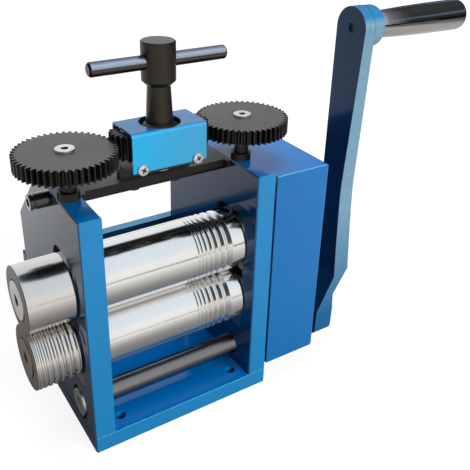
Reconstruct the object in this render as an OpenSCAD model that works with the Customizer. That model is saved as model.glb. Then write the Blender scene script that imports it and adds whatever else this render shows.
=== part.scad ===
// Jewellers rolling mill: two geared steel rollers between side plates, opened and closed
// by a T-handle through a gear train, and driven by a hand crank.
// +X points to the crank side, +Y to the back, +Z up; the origin is the centre of the
// base plate's underside.

/* [Frame] */
// Width over the two side plates
frame_w = 140; // [130:1:160]
// Depth of the base plate, front to back
base_depth = 125; // [115:1:140]
// Thickness of the base plate
base_t = 12.5; // [10:0.5:14]
// Thickness of each side plate
plate_t = 15; // [13:0.5:17]
// Height of the side plates above their windows
plate_head = 36.5; // [34:0.5:44]
// Leg of the sloping rear corner of a side plate
rear_slope = 49; // [40:1:52]
// Chamfer along the edges of the plates
edge_chamfer = 0.8; // [0.3:0.1:1.5]
// Width of the window that holds the bearing blocks
window_w = 38; // [37:0.5:40]
// Depth of the window's floor below the lower roller's axis
window_drop = 26.1; // [24:0.1:28]
// Room over the upper bearing blocks for their lift
lift_room = 5.9; // [5.4:0.1:9]
// Radius of the window's upper corners
window_r = 10; // [8:0.5:11]
// Thickness of the plate across the back
rear_plate_t = 8; // [6:0.5:10]
// Drop of the rear plate's top edge below the strip that leaves the rollers
strip_drop = 2.6; // [1:0.1:14]
// Gap between the rear plate and the bench
rear_plate_lift = 2; // [1:0.5:6]

/* [Bench holes] */
// Diameter of the four holes in the base plate
bench_hole_d = 7; // [5:0.5:9]
// Distance of the bench holes from the base plate's two sides
bench_inset_x = 24; // [22:0.5:30]
// Distance of the bench holes from its front and back edges
bench_inset_y = 12.5; // [8:0.5:18]

/* [Tie rod and cross bar] */
// Diameter of the tie rod low at the front
tie_rod_d = 15.2; // [12:0.2:17]
// Tie rod axis behind the plates' front edge
tie_rod_back = 25.5; // [22:0.5:27]
// Height of the tie rod's axis over the base plate
tie_rod_rise = 14; // [12:0.5:16]
// Diameter of the tie rod screw's flat head
tie_head_d = 20; // [17:0.5:22]
// Thickness of the tie rod screw's head
tie_head_t = 4; // [3:0.5:6]
// Width of the counterbore round that head
tie_sink_d = 25; // [23:0.5:27]
// Depth of that counterbore
tie_sink_depth = 3; // [2:0.5:4]
// Shank of the tie rod screw
tie_screw_d = 8; // [6:0.5:10]
// Depth of the tie rod screw in the rod
tie_screw_depth = 15; // [10:1:20]
// Spigot at the tie rod's blind end
tie_spigot_d = 8; // [6:0.5:10]
// Depth of the cross bar, front to back
bar_depth = 22; // [18:0.5:24]
// Thickness of the cross bar
bar_t = 9; // [8:0.5:11]
// Cross bar's front edge behind the roller axes
bar_step = 4; // [3.5:0.5:7]
// Chamfer along the cross bar's lower edges
bar_chamfer = 4; // [1:0.5:5]
// Reach of the small flares at the bar's two ends
bar_flare = 3.5; // [1:0.5:4]
// Diameter of the cap screws that hold the cross bar
cap_head_d = 10.5; // [9:0.5:12]
// Length of the head that stands out of the left plate
cap_head_l = 13.6; // [8:0.2:16]
// Shank of the cap screws
cap_screw_d = 6; // [5:0.5:7]
// Depth of the cap screws in the bar
cap_screw_depth = 14; // [8:1:20]

/* [Frame screws] */
// Head diameter of the screws through the rear plate
rear_head_d = 9; // [8:0.5:11]
// Height of those button heads
rear_head_t = 3; // [2:0.5:4]
// Shank of the screws through the rear plate
rear_screw_d = 5; // [4:0.5:6]
// Depth of the rear screws in the side plates
rear_screw_depth = 14; // [8:1:20]
// Head diameter of the screws up through the base
base_head_d = 12; // [10:0.5:13]
// Depth of the countersunk heads in the base
base_head_t = 4; // [3:0.5:6]
// Shank of the screws up through the base
base_screw_d = 6; // [5:0.5:8]
// Depth of the base screws in the side plates
base_screw_depth = 16; // [10:1:20]

/* [Rollers] */
// Diameter of both rollers
roller_d = 45; // [43:0.5:45]
// Roller axes behind the plates' front edge
axis_back = 33; // [32:0.5:34]
// Gap between the rollers at rest
roll_gap = 0.5; // [0.4:0.1:1]
// Gap between a barrel and each plate
barrel_play = 0.5; // [0.3:0.1:1]
// Diameter of the rollers' journals
journal_d = 24; // [20:0.5:25]
// Chamfer at a barrel's ends
barrel_chamfer = 0.6; // [0.3:0.1:1]
// Wire grooves near the right end of each barrel
vee_count = 7; // [3:1:8]
// Width of the narrowest wire groove
vee_first_w = 1.2; // [0.8:0.1:2]
// Width of the widest wire groove
vee_last_w = 5; // [4:0.1:6]
// Land between two wire grooves
vee_land = 1.3; // [0.8:0.1:2]
// Plain band right of the widest wire groove
vee_end_band = 10.4; // [6:0.2:14]

/* [Extension rollers] */
// Length of the plain upper extension roller
plain_ext_l = 30.2; // [24:0.1:34]
// Length of the grooved lower extension roller
grooved_ext_l = 29.3; // [24:0.1:34]
// Gap between an extension roller and the left plate
ext_gap = 1; // [0.6:0.1:2]
// Spigot that carries an extension roller
ext_spigot_d = 16; // [13:0.5:18]
// Disc head of the bolt that holds an extension roller
ext_head_d = 26; // [22:0.5:30]
// Thickness of that disc head
ext_head_t = 2.8; // [2:0.1:4]
// Depth of the seat round the disc head
ext_sink = 2; // [1:0.1:2.4]
// Shank of that bolt
ext_bolt_d = 10; // [8:0.5:11]
// Web between the spigot and the bolt's head
ext_web = 3; // [2:0.5:5]
// Half-round grooves in the lower extension roller
ext_groove_count = 7; // [4:1:8]
// Width of the narrowest half-round groove
ext_first_w = 1.5; // [1:0.1:2]
// Width of the widest half-round groove
ext_last_w = 4.6; // [3:0.1:5]

/* [Bearings] */
// Wall of the roller bushes
bush_wall = 3; // [2:0.25:3.5]
// Running gap on the radius of every shaft in its bore
run_play = 0.05; // [0.02:0.01:0.08]
// Gap between a bearing block and each side of its window
block_play = 0.06; // [0.03:0.01:0.09]
// Gap between an upper and a lower bearing block at rest
block_gap = 7.5; // [6:0.5:9]
// Gap between a block's face and the plate's face
block_inset = 0.25; // [0.1:0.05:0.5]
// Rounding of an upper block's top corners
block_r = 10.5; // [9:0.5:12]
// Outer diameter of the springs between the blocks
spring_d = 7; // [6:0.2:7.6]
// Wire of the springs
spring_wire = 1; // [0.8:0.1:1.2]
// Turns of each spring
spring_turns = 7; // [4:1:8]
// Gap round a spring in its pocket
spring_play = 0.3; // [0.2:0.05:0.5]
// Wall between a spring's pocket and the bush
pocket_wall = 1.15; // [0.8:0.05:3]
// Distance of the spring axes from the window's two sides
spring_inset = 6; // [5.5:0.1:6.5]

/* [Pressure screws] */
// Diameter of the two pressure screws
screw_d = 10; // [8:0.5:10]
// Pilot at the foot of a pressure screw
foot_d = 8; // [6:0.5:8]
// Length of that pilot
foot_l = 2.4; // [1.5:0.1:3]
// Wall of a side plate beside the nut in it
nut_wall = 1; // [0.8:0.1:1.5]
// Length of that body
nut_l = 20; // [12:1:30]
// Reach of the nut's flange past its body
nut_lip = 0.5; // [0.3:0.1:2]
// Thickness of that flange
nut_flange_t = 5.5; // [4:0.5:6]

/* [Height gears] */
// Gap between the deck and the idlers
idler_lift = 1; // [0.8:0.1:1.5]
// Gap between the deck's level and the pressure screws' gears
screw_gear_lift = 2.5; // [2:0.1:3]
// Teeth of a pressure screw's gear
screw_gear_z = 48; // [46:1:50]
// Teeth of an idler gear
idler_z = 17; // [17:2:17]
// Teeth of the handle's pinion
pinion_z = 18; // [18:2:18]
// Thickness of a pressure screw's gear
screw_gear_w = 10; // [8:0.5:11]
// Hub under a pressure screw's gear
gear_hub_d = 18; // [14:0.5:22]
// Height of that hub
gear_hub_h = 8.5; // [4:0.5:10]
// Height of the idlers and of the handle's pinion
idler_w = 16; // [15.5:0.5:17]
// Backlash of the gears on top
top_backlash = 0.15; // [0.1:0.05:0.3]
// Disc on top of each pressure screw's gear
gear_disc_d = 12; // [10:0.5:16]
// Thickness of that disc
gear_disc_t = 1.5; // [1:0.1:2]
// Shank of the disc's bolt
gear_bolt_d = 5; // [4:0.5:6]
// Length of that shank
gear_bolt_l = 12; // [8:1:16]

/* [Bridge and bracket] */
// Height of the bridge block's foot
foot_h = 11; // [9:0.5:12]
// Thickness of the bridge block's deck
deck_t = 8; // [7:0.5:10]
// Gap between the handle's collar and the bridge block's foot
collar_room = 1; // [0.5:0.1:2]
// Wall of that foot beside its screws
foot_wall = 1; // [0.8:0.1:1.5]
// Reach of the bracket past the idlers' axes
bracket_reach = 3.925; // [3:0.025:5]
// Gap between the idlers' teeth and the bracket's walls
bracket_play = 1.125; // [0.8:0.025:2]
// Sheet thickness of the bracket
bracket_t = 1.5; // [1:0.1:2]
// Outer bend radius of the bracket
bracket_r = 2.5; // [2:0.1:4]
// Gap between the idler pins' heads and the bracket's top
bracket_head_gap = 0.1; // [0.1:0.1:1]
// Lift of the bracket's lower edge over the deck's underside
bracket_lift = 0.5; // [0.2:0.1:1]
// Gap round the handle's flare in the bracket's top
bracket_hole_play = 1.3; // [0.8:0.1:1.6]
// Distance between the bracket's two screws
bracket_screw_span = 38.8; // [34:0.2:42]
// Head diameter of the bracket's screws
bracket_head_d = 7.3; // [6:0.1:8]
// Height of those heads
bracket_head_t = 2; // [1.5:0.1:3]
// Shank of the bracket's screws
bracket_screw_d = 3.5; // [3:0.1:4]
// Depth of the bracket's screws in the deck
bracket_screw_depth = 7; // [5:0.5:8]
// Diameter of the idlers' pins
idler_pin_d = 6; // [5:0.5:8]
// Head of an idler's pin
idler_pin_head_d = 9; // [8:0.5:11]
// Thickness of that head
idler_pin_head_t = 1; // [0.8:0.1:1.2]
// Distance between the screws from the cross bar up into the bridge block
bridge_screw_span = 30; // [24:1:40]

/* [T-handle] */
// Diameter of the knob
knob_d = 21.6; // [18:0.2:24]
// Height of the knob
knob_h = 27.2; // [22:0.2:32]
// Length of the stem between its flare and the knob
stem_l = 24; // [12:0.5:28]
// Chamfer under the knob
knob_chamfer = 3; // [1:0.5:4]
// Diameter of the stem under the knob
stem_top_d = 14.8; // [11:0.2:15]
// Diameter of the stem at its foot
stem_foot_d = 17.4; // [15:0.2:20]
// Height of the flare between stem and pinion
flare_h = 2.5; // [1.5:0.5:6]
// Width of the flare over the pinion
flare_d = 24; // [20:0.5:25]
// Diameter of the cross bar of the T
tbar_d = 9; // [6:0.5:10]
// Length of that bar
tbar_l = 92.5; // [80:0.5:120]
// How far the bar sits off centre
tbar_shift = 1; // [0:0.5:5]
// Depth of the bar's axis under the knob's top
tbar_drop = 12.5; // [9:0.5:15]
// Spindle inside the pinion
spindle_core_d = 12; // [10:0.5:14]
// Journal of the spindle in the deck
spindle_journal_d = 8; // [6:0.5:9]
// Collar that keeps the spindle in the deck
collar_d = 12; // [11.5:0.5:13]
// Thickness of that collar
collar_t = 4; // [3:0.5:6]

/* [Gear cover] */
// Gap between the bolts on the rollers' ends and the cover's wall
cover_room = 2.7; // [2:0.1:6]
// Wall of the cover
cover_wall = 2.5; // [2:0.1:3]
// Gap between the reduction gear's teeth and the cover's front wall
cover_gear_gap = 1.8; // [1:0.1:3]
// Distance of the cover's back from the base plate's back edge
cover_back_inset = 1.3; // [0:0.1:3]
// Height of the cover's lower edge
cover_z = 18.8; // [17:0.1:19]
// Drop of the cover's top below the plate's top
cover_drop = 2.4; // [1:0.1:4]
// Outer rounding of the cover's edges
cover_r = 3; // [2.6:0.1:4]
// Diameter of the pillars inside the cover
pillar_d = 9; // [8:0.5:10]
// Pillar axes inside the cover's outline
pillar_inset = 10; // [8.5:0.5:11]
// Head diameter of the cover's screws
cover_head_d = 9; // [7:0.5:10]
// Height of those heads
cover_head_t = 3; // [2:0.5:4]
// Shank of the cover's screws
cover_screw_d = 4; // [3:0.5:5]
// Depth of the screws in the pillars
cover_screw_depth = 12; // [8:1:16]

/* [Drive gears] */
// Teeth of the gears on the rollers
roll_z = 12; // [12:2:12]
// Thickness of the gears on the rollers
roll_gear_w = 16; // [14:0.5:16]
// Backlash of the gears on the rollers
roll_backlash = 0.7; // [0.5:0.1:1]
// Teeth of the reduction gear on the lower roller
red_z = 28; // [28:2:28]
// Teeth of the crank's pinion
crank_z = 12; // [12:2:12]
// Thickness of the reduction gears
red_gear_w = 14; // [12:0.5:14]
// Backlash of the reduction gears
red_backlash = 0.2; // [0.1:0.05:0.3]
// Gap between the right plate and the gears on the rollers
gear_gap = 2; // [1:0.5:2.5]
// Gap between those gears and the reduction gear
gear_step = 2; // [1:0.5:2.5]
// Seat of the gears on the rollers' shafts
gear_seat_d = 20; // [18:0.5:22]
// Seat of the reduction gear
red_seat_d = 16; // [14:0.5:18]
// Width and height of the gears' keys
key_w = 5; // [4:0.5:6]
// Washer at the end of a roller's shaft
end_washer_d = 22; // [21:0.5:26]
// Thickness of that washer
end_washer_t = 2; // [1.5:0.5:2.5]
// Head of the bolt at the end of a roller's shaft
end_head_d = 13; // [10:0.5:14]
// Height of that head
end_head_t = 4.5; // [3:0.5:5]
// Shank of that bolt
end_bolt_d = 6; // [5:0.5:8]
// Depth of that bolt in the shaft
end_bolt_depth = 18; // [10:1:20]

/* [Crank] */
// Height of the crank's axis
crank_h = 33.1; // [32.5:0.1:36]
// Distance between the axes of the crank and the lower roller
crank_drop = 40; // [38:0.5:41]
// Distance from the crank's axis to the grip's axis
crank_throw = 230.6; // [180:0.2:240]
// Lean of the crank at rest, its top towards the front
crank_lean = 1.7; // [0:0.1:20]
// Diameter of the crank shaft's inner journal
inner_journal_d = 12; // [10:0.5:12]
// Diameter of the crank shaft inside its pinion
pinion_seat_d = 13; // [12.5:0.5:13]
// Diameter of the crank shaft's outer journal
outer_journal_d = 16; // [14.5:0.5:17]
// Diameter of the crank shaft in the arm
arm_seat_d = 14; // [13.5:0.5:14]
// Flat on that seat, below the full circle
arm_flat = 2; // [1:0.5:3]
// Outer diameter of the inner crank bush
inner_bush_d = 18; // [16:0.5:18]
// Outer diameter of the crank bush in the cover's wall
outer_bush_d = 24; // [22:0.5:25]
// Flange of that bush
bush_flange_d = 28; // [26:0.5:28]
// Thickness of that flange
bush_flange_t = 4; // [3:0.5:6]
// Reach of the crank bush outside the cover
bush_reach = 12.3; // [9:0.1:13]
// Gap between the crank bush and the arm
arm_gap = 2; // [1:0.5:4]
// Width of the arm's hub along the shaft
hub_w = 17; // [14:0.5:20]
// Half the width of the arm at its hub
hub_half = 20.3; // [18:0.1:22]
// Reach of the hub below the crank's axis
hub_drop = 22.5; // [19:0.1:24]
// Rounding of the hub's lower corners
hub_r = 7; // [3:0.5:9]
// Half the width of the arm at its waist
waist_half = 11.4; // [9:0.1:13]
// Height of the waist above the crank's axis
waist_h = 110; // [80:1:140]
// Half the width of the arm at its grip end
tip_half = 14.8; // [13:0.1:17]
// Thickness of the arm just above the joggle
arm_low_t = 14.5; // [11:0.5:16]
// Thickness of the arm at its grip end
arm_top_t = 8.5; // [7:0.5:11]
// Start of the joggle on the inner face, above the crank's axis
joggle_in_h = 2; // [0:0.5:4]
// Start of the joggle on the outer face, above the crank's axis
joggle_out_h = 14; // [10:0.5:16]
// End of the joggle on the inner face, above the crank's axis
joggle_in_end = 30; // [26:0.5:34]
// End of the joggle on the outer face, above the crank's axis
joggle_out_end = 34.6; // [30:0.2:40]
// Diameter of the boss that carries the grip
boss_d = 29; // [26:0.5:29]
// Height of that boss over the arm
boss_h = 11.5; // [8:0.5:14]
// Rounding of the boss's rim
boss_r = 3; // [1:0.5:4]
// Washer under the crank's bolt
crank_washer_d = 24; // [20:0.5:28]
// Thickness of that washer
crank_washer_t = 2; // [1.5:0.5:3]
// Head of the crank's bolt
crank_head_d = 14; // [12:0.5:16]
// Height of that head
crank_head_t = 7; // [5:0.5:9]
// Shank of the crank's bolt
crank_bolt_d = 7; // [6:0.5:8]
// Depth of the crank's bolt in the shaft
crank_bolt_depth = 18; // [12:1:24]

/* [Grip] */
// Length of the rotating grip
grip_l = 88; // [80:1:110]
// Diameter of the grip at its widest
grip_d = 22.8; // [20:0.2:26]
// Diameter of the grip beside the arm
grip_neck_d = 18.2; // [16:0.2:19]
// Rounding of the grip's far end
grip_end_r = 4; // [3:0.5:6]
// Diameter of the grip's spindle
spindle_d = 7.2; // [6:0.1:9]
// Depth of the spindle's end below the arm's inner face
spindle_sink = 2; // [1:0.1:3]
// Thickness of the washer between boss and grip
grip_washer_t = 1; // [0.6:0.1:1.5]
// Diameter of that washer
grip_washer_d = 19; // [15:0.5:22]

/* [Hidden] */
$fn = 64;

// Overrun of every cut
cut = 1;
// Gap on the radius of a fixed fit
snug = 0.01;
// Gap between flat faces that turn against each other
face_play = 0.3;
// Faces of a hexagon socket or head
hex = 6;
// Pressure angles of the gears on top and of the drive gears
top_angle = 20;
drive_angle = 25;

x_left = -frame_w / 2;
x_right = frame_w / 2;
x_in_left = x_left + plate_t;
x_in_right = x_right - plate_t;
y_front = -base_depth / 2;
y_back = base_depth / 2;
axis_y = y_front + axis_back;
lower_axis_h = crank_h + crank_drop;
upper_axis_h = lower_axis_h + roller_d + roll_gap;
block_half_h = (roller_d + roll_gap - block_gap) / 2;
window_z = lower_axis_h - window_drop;
window_top = upper_axis_h + block_half_h + lift_room;
window_h = window_top - window_z;
frame_h = window_top + plate_head;
rear_plate_h = lower_axis_h + roller_d / 2 - strip_drop;
bench_span_x = frame_w - 2 * bench_inset_x;
bench_span_y = base_depth - 2 * bench_inset_y;
tie_rod_h = base_t + tie_rod_rise;

// The distances between the axes set the modules of the gears.
screw_reach = (frame_w - plate_t) / 2;
top_module = 2 * screw_reach / (pinion_z + 2 * idler_z + screw_gear_z);
roll_module = roller_d / roll_z;
red_module = 2 * crank_drop / (red_z + crank_z);

// Bushes, and pockets for the springs that stop short of them
bush_d = journal_d + 2 * bush_wall;
spring_reach = window_w / 2 - spring_inset;
pocket_edge = spring_reach - spring_d / 2 - spring_play;
pocket_depth = block_half_h - sqrt(pow(bush_d / 2, 2) - pow(pocket_edge, 2)) - pocket_wall;
nut_d = plate_t - 2 * nut_wall;
nut_flange_d = nut_d + 2 * nut_lip;

// Places of the screws up the rear plate, and along each plate's foot
rear_screw_shares = [0.25, 0.85];
base_screw_shares = [-0.4, 0.3];
// Share of a side plate's thickness taken by the blind holes from inside and outside
spigot_depth_share = 0.4;
bush_depth_share = 0.5;
spigot_l = plate_t * spigot_depth_share;
inner_bush_l = plate_t * bush_depth_share;

bar_y = axis_y + bar_step;
cap_y = bar_y + bar_depth / 2;
cap_h = frame_h - bar_t / 2;

deck_z = frame_h + foot_h;
deck_top = deck_z + deck_t;
idler_z0 = deck_top + idler_lift;
bracket_foot = deck_z + bracket_lift;
bracket_top = idler_z0 + idler_w + idler_pin_head_t + bracket_head_gap + bracket_t;
bracket_h = bracket_top - bracket_foot;
bracket_hole_d = flare_d + 2 * bracket_hole_play;
knob_top_h = idler_z0 + idler_w + flare_h + stem_l + knob_h;
idler_reach = top_module * (idler_z + pinion_z) / 2;
idler_tip = top_module * (idler_z / 2 + 1);
bracket_w = 2 * (idler_reach + bracket_reach);
bracket_depth = 2 * (idler_tip + bracket_play + bracket_t);
screw_gear_z0 = deck_top + screw_gear_lift;
block_t = plate_t - 2 * block_inset;

roll_gear_x = x_right + gear_gap;
red_gear_x = roll_gear_x + roll_gear_w + gear_step;
red_gear_end = red_gear_x + red_gear_w;
cover_x = red_gear_end + end_washer_t + end_head_t + cover_room + cover_wall;
cover_w = cover_x - x_right;
hub_x = cover_x + bush_reach + arm_gap;
arm_x = hub_x + hub_w;
grip_x = arm_x + arm_top_t + boss_h + grip_washer_t;

// Placing along X: a shape's own z becomes +X, its x becomes +Y and its y becomes +Z.
module along_x(x, y, z) {
    translate([x, y, z]) rotate([90, 0, 90]) children();
}

// A bar of round section along X.
module rod_x(x, y, z, d, l) {
    along_x(x, y, z) cylinder(d = d, h = l);
}

// A plate cut to an outline, with all its edges chamfered.
module chamfered_plate(points, t, c) {
    hull() {
        translate([0, 0, c]) linear_extrude(t - 2 * c) polygon(points);
        linear_extrude(t) offset(delta = -c) polygon(points);
    }
}

// A rectangle about the origin with round corners.
module round_rect(w, h, r) {
    square([w, h - 2 * r], center = true);
    square([w - 2 * r, h], center = true);
    for (sx = [-1, 1], sy = [-1, 1]) translate([sx * (w / 2 - r), sy * (h / 2 - r)]) circle(r = r);
}

// A screw along +Z: a round head on z = 0 with a hexagon socket, and its shank below.
module socket_screw(head_d, head_t, shank_d, shank_l, key_share) {
    difference() {
        union() {
            cylinder(d = head_d, h = head_t);
            translate([0, 0, -shank_l]) cylinder(d = shank_d, h = shank_l);
        }
        translate([0, 0, head_t / 3]) cylinder(d = head_d * key_share, h = head_t, $fn = hex);
    }
}

// The involute function, in degrees.
function inv(a) = tan(a) * 180 / PI - a;

// Half the angle that a tooth takes up at radius r.
function tooth_half(r, m, z, pa, play) =
    let (rp = m * z / 2, rb = rp * cos(pa))
    90 / z - play / 4 / rp * 180 / PI + inv(pa) - (r > rb ? inv(acos(rb / r)) : 0);

// Radii of the points on one flank, from the root to the tip.
function flank_radii(m, z, pa, steps) =
    let (rp = m * z / 2, root = rp - 1.25 * m, tip = rp + m, base = max(rp * cos(pa), root + m / 50))
    [root, for (k = [0:steps]) base + (tip - base) * k / steps];

// A spur gear's outline, with a tooth on the +X axis.
module gear_outline(m, z, pa, play, steps) {
    radii = flank_radii(m, z, pa, steps);
    last = len(radii) - 1;
    polygon([
        for (i = [0:z - 1], side = [-1, 1], k = [0:last])
            let (r = radii[side < 0 ? k : last - k])
            let (a = 360 / z * i + side * tooth_half(r, m, z, pa, play))
            [r * cos(a), r * sin(a)]]);
}

// Frame: base, side plates, rear plate and what ties them together.

// Outline of a side plate in its own plane, from the base plate up.
plate_outline = [
    [y_front, base_t],
    [y_back, base_t],
    [y_back, frame_h - rear_slope],
    [y_back - rear_slope, frame_h],
    [y_front, frame_h]];

module base_screw_places() {
    for (x = [x_left + plate_t / 2, x_right - plate_t / 2], share = base_screw_shares)
        translate([x, share * base_depth, 0]) children();
}

module rear_screw_places() {
    for (x = [x_left + plate_t / 2, x_right - plate_t / 2], share = rear_screw_shares)
        translate([x, y_back + rear_plate_t, share * rear_plate_h]) rotate([-90, 0, 0]) children();
}

module base_head_cone(gap) {
    cylinder(d1 = base_head_d + 2 * gap, d2 = base_screw_d + 2 * gap, h = base_head_t);
}

module base_plate() {
    color("royalblue") difference() {
        translate([x_left, 0, 0]) rotate([90, 0, 90])
            chamfered_plate([[y_front, 0], [y_back, 0], [y_back, base_t], [y_front, base_t]],
                frame_w, edge_chamfer);
        for (sx = [-1, 1], sy = [-1, 1])
            translate([sx * bench_span_x / 2, sy * bench_span_y / 2, -cut])
                cylinder(d = bench_hole_d, h = base_t + 2 * cut);
        base_screw_places() {
            translate([0, 0, -cut]) cylinder(d = base_screw_d + 2 * snug, h = base_t + 2 * cut);
            translate([0, 0, -snug]) base_head_cone(snug);
        }
    }
}

module base_screws() {
    color("dimgray") base_screw_places() difference() {
        union() {
            base_head_cone(0);
            cylinder(d = base_screw_d, h = base_t + base_screw_depth);
        }
        translate([0, 0, -cut]) cylinder(d = base_screw_d, h = cut + base_head_t / 2, $fn = hex);
    }
}

// The window's outline about the roller axes' plane; its floor is square, its top rounded.
module window_outline() {
    translate([-window_w / 2, window_z]) square([window_w, window_h - window_r]);
    translate([window_r - window_w / 2, window_z]) square([window_w - 2 * window_r, window_h]);
    for (s = [-1, 1])
        translate([s * (window_w / 2 - window_r), window_top - window_r]) circle(r = window_r);
}

// A side plate with what both have: the window, the nut's bore and the screw holes.
module side_plate(x) {
    difference() {
        along_x(x, 0, 0) chamfered_plate(plate_outline, plate_t, edge_chamfer);
        along_x(x - cut, axis_y, 0) linear_extrude(plate_t + 2 * cut) window_outline();
        translate([x + plate_t / 2, axis_y, window_top - cut])
            cylinder(d = screw_d + 2 * spring_play, h = frame_h);
        translate([x + plate_t / 2, axis_y, frame_h - nut_l - snug])
            cylinder(d = nut_d + 2 * snug, h = frame_h);
        rod_x(x - cut, cap_y, cap_h, cap_screw_d + 2 * snug, plate_t + 2 * cut);
        base_screw_places() translate([0, 0, base_t - cut])
            cylinder(d = base_screw_d + 2 * snug, h = cut + base_screw_depth + snug);
        rear_screw_places() translate([0, 0, -rear_plate_t - rear_screw_depth - snug])
            cylinder(d = rear_screw_d + 2 * snug, h = rear_screw_depth + cut);
    }
}

module left_side_plate() {
    color("royalblue") difference() {
        side_plate(x_left);
        rod_x(x_left - cut, y_front + tie_rod_back, tie_rod_h, tie_sink_d, cut + tie_sink_depth);
        rod_x(x_left, y_front + tie_rod_back, tie_rod_h, tie_screw_d + 2 * snug, plate_t + cut);
    }
}

module right_side_plate() {
    color("royalblue") difference() {
        side_plate(x_in_right);
        rod_x(x_in_right - cut, y_front + tie_rod_back, tie_rod_h, tie_spigot_d + 2 * snug,
            cut + spigot_l + snug);
        rod_x(x_right - inner_bush_l - snug, axis_y, crank_h, inner_bush_d + 2 * snug,
            inner_bush_l + cut);
    }
}

module rear_plate() {
    color("royalblue") difference() {
        translate([x_left, y_back, 0]) rotate([90, 0, 90])
            chamfered_plate([[0, rear_plate_lift], [rear_plate_t, rear_plate_lift],
                [rear_plate_t, rear_plate_h], [0, rear_plate_h]], frame_w, edge_chamfer);
        rear_screw_places() translate([0, 0, -rear_plate_t - cut])
            cylinder(d = rear_screw_d + 2 * snug, h = rear_plate_t + 2 * cut);
    }
}

module rear_plate_screws() {
    color("dimgray") rear_screw_places()
        socket_screw(rear_head_d, rear_head_t, rear_screw_d, rear_plate_t + rear_screw_depth, 0.5);
}

module tie_rod() {
    color("silver") difference() {
        union() {
            rod_x(x_in_left, y_front + tie_rod_back, tie_rod_h, tie_rod_d, frame_w - 2 * plate_t);
            rod_x(x_in_right, y_front + tie_rod_back, tie_rod_h, tie_spigot_d, spigot_l);
        }
        rod_x(x_in_left - cut, y_front + tie_rod_back, tie_rod_h, tie_screw_d + 2 * snug,
            cut + tie_screw_depth + snug);
    }
}

module tie_rod_screw() {
    color("silver") translate([x_left + tie_sink_depth, y_front + tie_rod_back, tie_rod_h])
        rotate([0, -90, 0])
            socket_screw(tie_head_d, tie_head_t, tie_screw_d,
                plate_t - tie_sink_depth + tie_screw_depth, 0.45);
}

// Cross bar, flush with the plates' tops, seen from the side.
module bar_profile() {
    polygon([
        [0, frame_h],
        [0, frame_h - bar_t + bar_chamfer],
        [bar_chamfer, frame_h - bar_t],
        [bar_depth - bar_chamfer, frame_h - bar_t],
        [bar_depth, frame_h - bar_t + bar_chamfer],
        [bar_depth, frame_h]]);
}

module cross_bar() {
    color("dimgray") difference() {
        union() {
            along_x(x_in_left, bar_y, 0) linear_extrude(frame_w - 2 * plate_t) bar_profile();
            for (x = [x_in_left, x_in_right - bar_flare])
                translate([x, bar_y - bar_flare, frame_h - bar_t + bar_chamfer])
                    cube([bar_flare, bar_flare, bar_t - bar_chamfer]);
        }
        for (x = [x_in_left - cut, x_in_right - cap_screw_depth - snug])
            rod_x(x, cap_y, cap_h, cap_screw_d + 2 * snug, cap_screw_depth + cut + snug);
        bridge_screw_places() translate([0, 0, -bar_t - cut])
            cylinder(d = bridge_screw_d + 2 * snug, h = bar_t + 2 * cut);
        bridge_screw_places() translate([0, 0, -bar_t - cut])
            cylinder(d = 2 * bridge_screw_d + 2 * snug, h = cut + bridge_screw_d + snug);
    }
}

// The left cap screw stands out of its plate; the right one is headless, under the cover.
module cross_bar_screws() {
    groove_share = 0.2;
    color("dimgray") {
        difference() {
            union() {
                rod_x(x_left - cap_head_l, cap_y, cap_h, cap_head_d, cap_head_l);
                rod_x(x_left, cap_y, cap_h, cap_screw_d, plate_t + cap_screw_depth);
            }
            rod_x(x_left - cap_head_l - cut, cap_y, cap_h, cap_screw_d, cap_screw_d + cut, $fn = hex);
            along_x(x_left - cap_head_l * (1 - groove_share), cap_y, cap_h)
                difference() {
                    cylinder(d = cap_head_d + 2 * cut, h = cap_head_l * groove_share / 3);
                    cylinder(d = cap_head_d * (1 - groove_share / 2), h = cap_head_l);
                }
        }
        difference() {
            rod_x(x_in_right - cap_screw_depth, cap_y, cap_h, cap_screw_d,
                cap_screw_depth + plate_t);
            along_x(x_right - cap_screw_d / 2, cap_y, cap_h)
                cylinder(d = cap_screw_d / 2, h = cap_screw_d, $fn = hex);
        }
    }
}

// Bridge over the cross bar: it carries the idlers and the handle inside the bracket.

bracket_y = axis_y - bracket_depth / 2;
deck_depth = bracket_depth - 2 * bracket_t;
foot_t = (deck_depth - collar_d) / 2 - collar_room;
bridge_screw_d = foot_t - 2 * foot_wall;
deck_w = bracket_w - 2 * bracket_t / 3;
foot_y = axis_y + deck_depth / 2 - foot_t;

module bridge_screw_places() {
    for (s = [-1, 1]) translate([s * bridge_screw_span / 2, foot_y + foot_t / 2, frame_h]) children();
}

module idler_places() {
    for (s = [-1, 1]) translate([s * idler_reach, axis_y, 0]) children();
}

module bracket_screw_places() {
    for (s = [-1, 1])
        translate([s * bracket_screw_span / 2, bracket_y, deck_z + deck_t / 2])
            rotate([90, 0, 0]) children();
}

module bridge_block() {
    color("dimgray") difference() {
        union() {
            translate([-deck_w / 2, foot_y, frame_h]) cube([deck_w, foot_t, foot_h]);
            translate([-deck_w / 2, axis_y - deck_depth / 2, deck_z])
                cube([deck_w, deck_depth, deck_t]);
        }
        translate([0, axis_y, deck_z - cut])
            cylinder(d = spindle_journal_d + 2 * run_play, h = deck_t + 2 * cut);
        idler_places() translate([0, 0, deck_z - cut])
            cylinder(d = idler_pin_d + 2 * snug, h = deck_t + 2 * cut);
        bridge_screw_places() translate([0, 0, -cut])
            cylinder(d = bridge_screw_d + 2 * snug, h = foot_h + cut);
        bracket_screw_places() translate([0, 0, -bracket_t - bracket_screw_depth - snug])
            cylinder(d = bracket_screw_d + 2 * snug, h = bracket_screw_depth + cut);
    }
}

module bridge_screws() {
    color("dimgray") bridge_screw_places() {
        translate([0, 0, -bar_t]) cylinder(d = 2 * bridge_screw_d, h = bridge_screw_d);
        translate([0, 0, -bar_t]) cylinder(d = bridge_screw_d, h = bar_t + foot_h - cut);
    }
}

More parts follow.
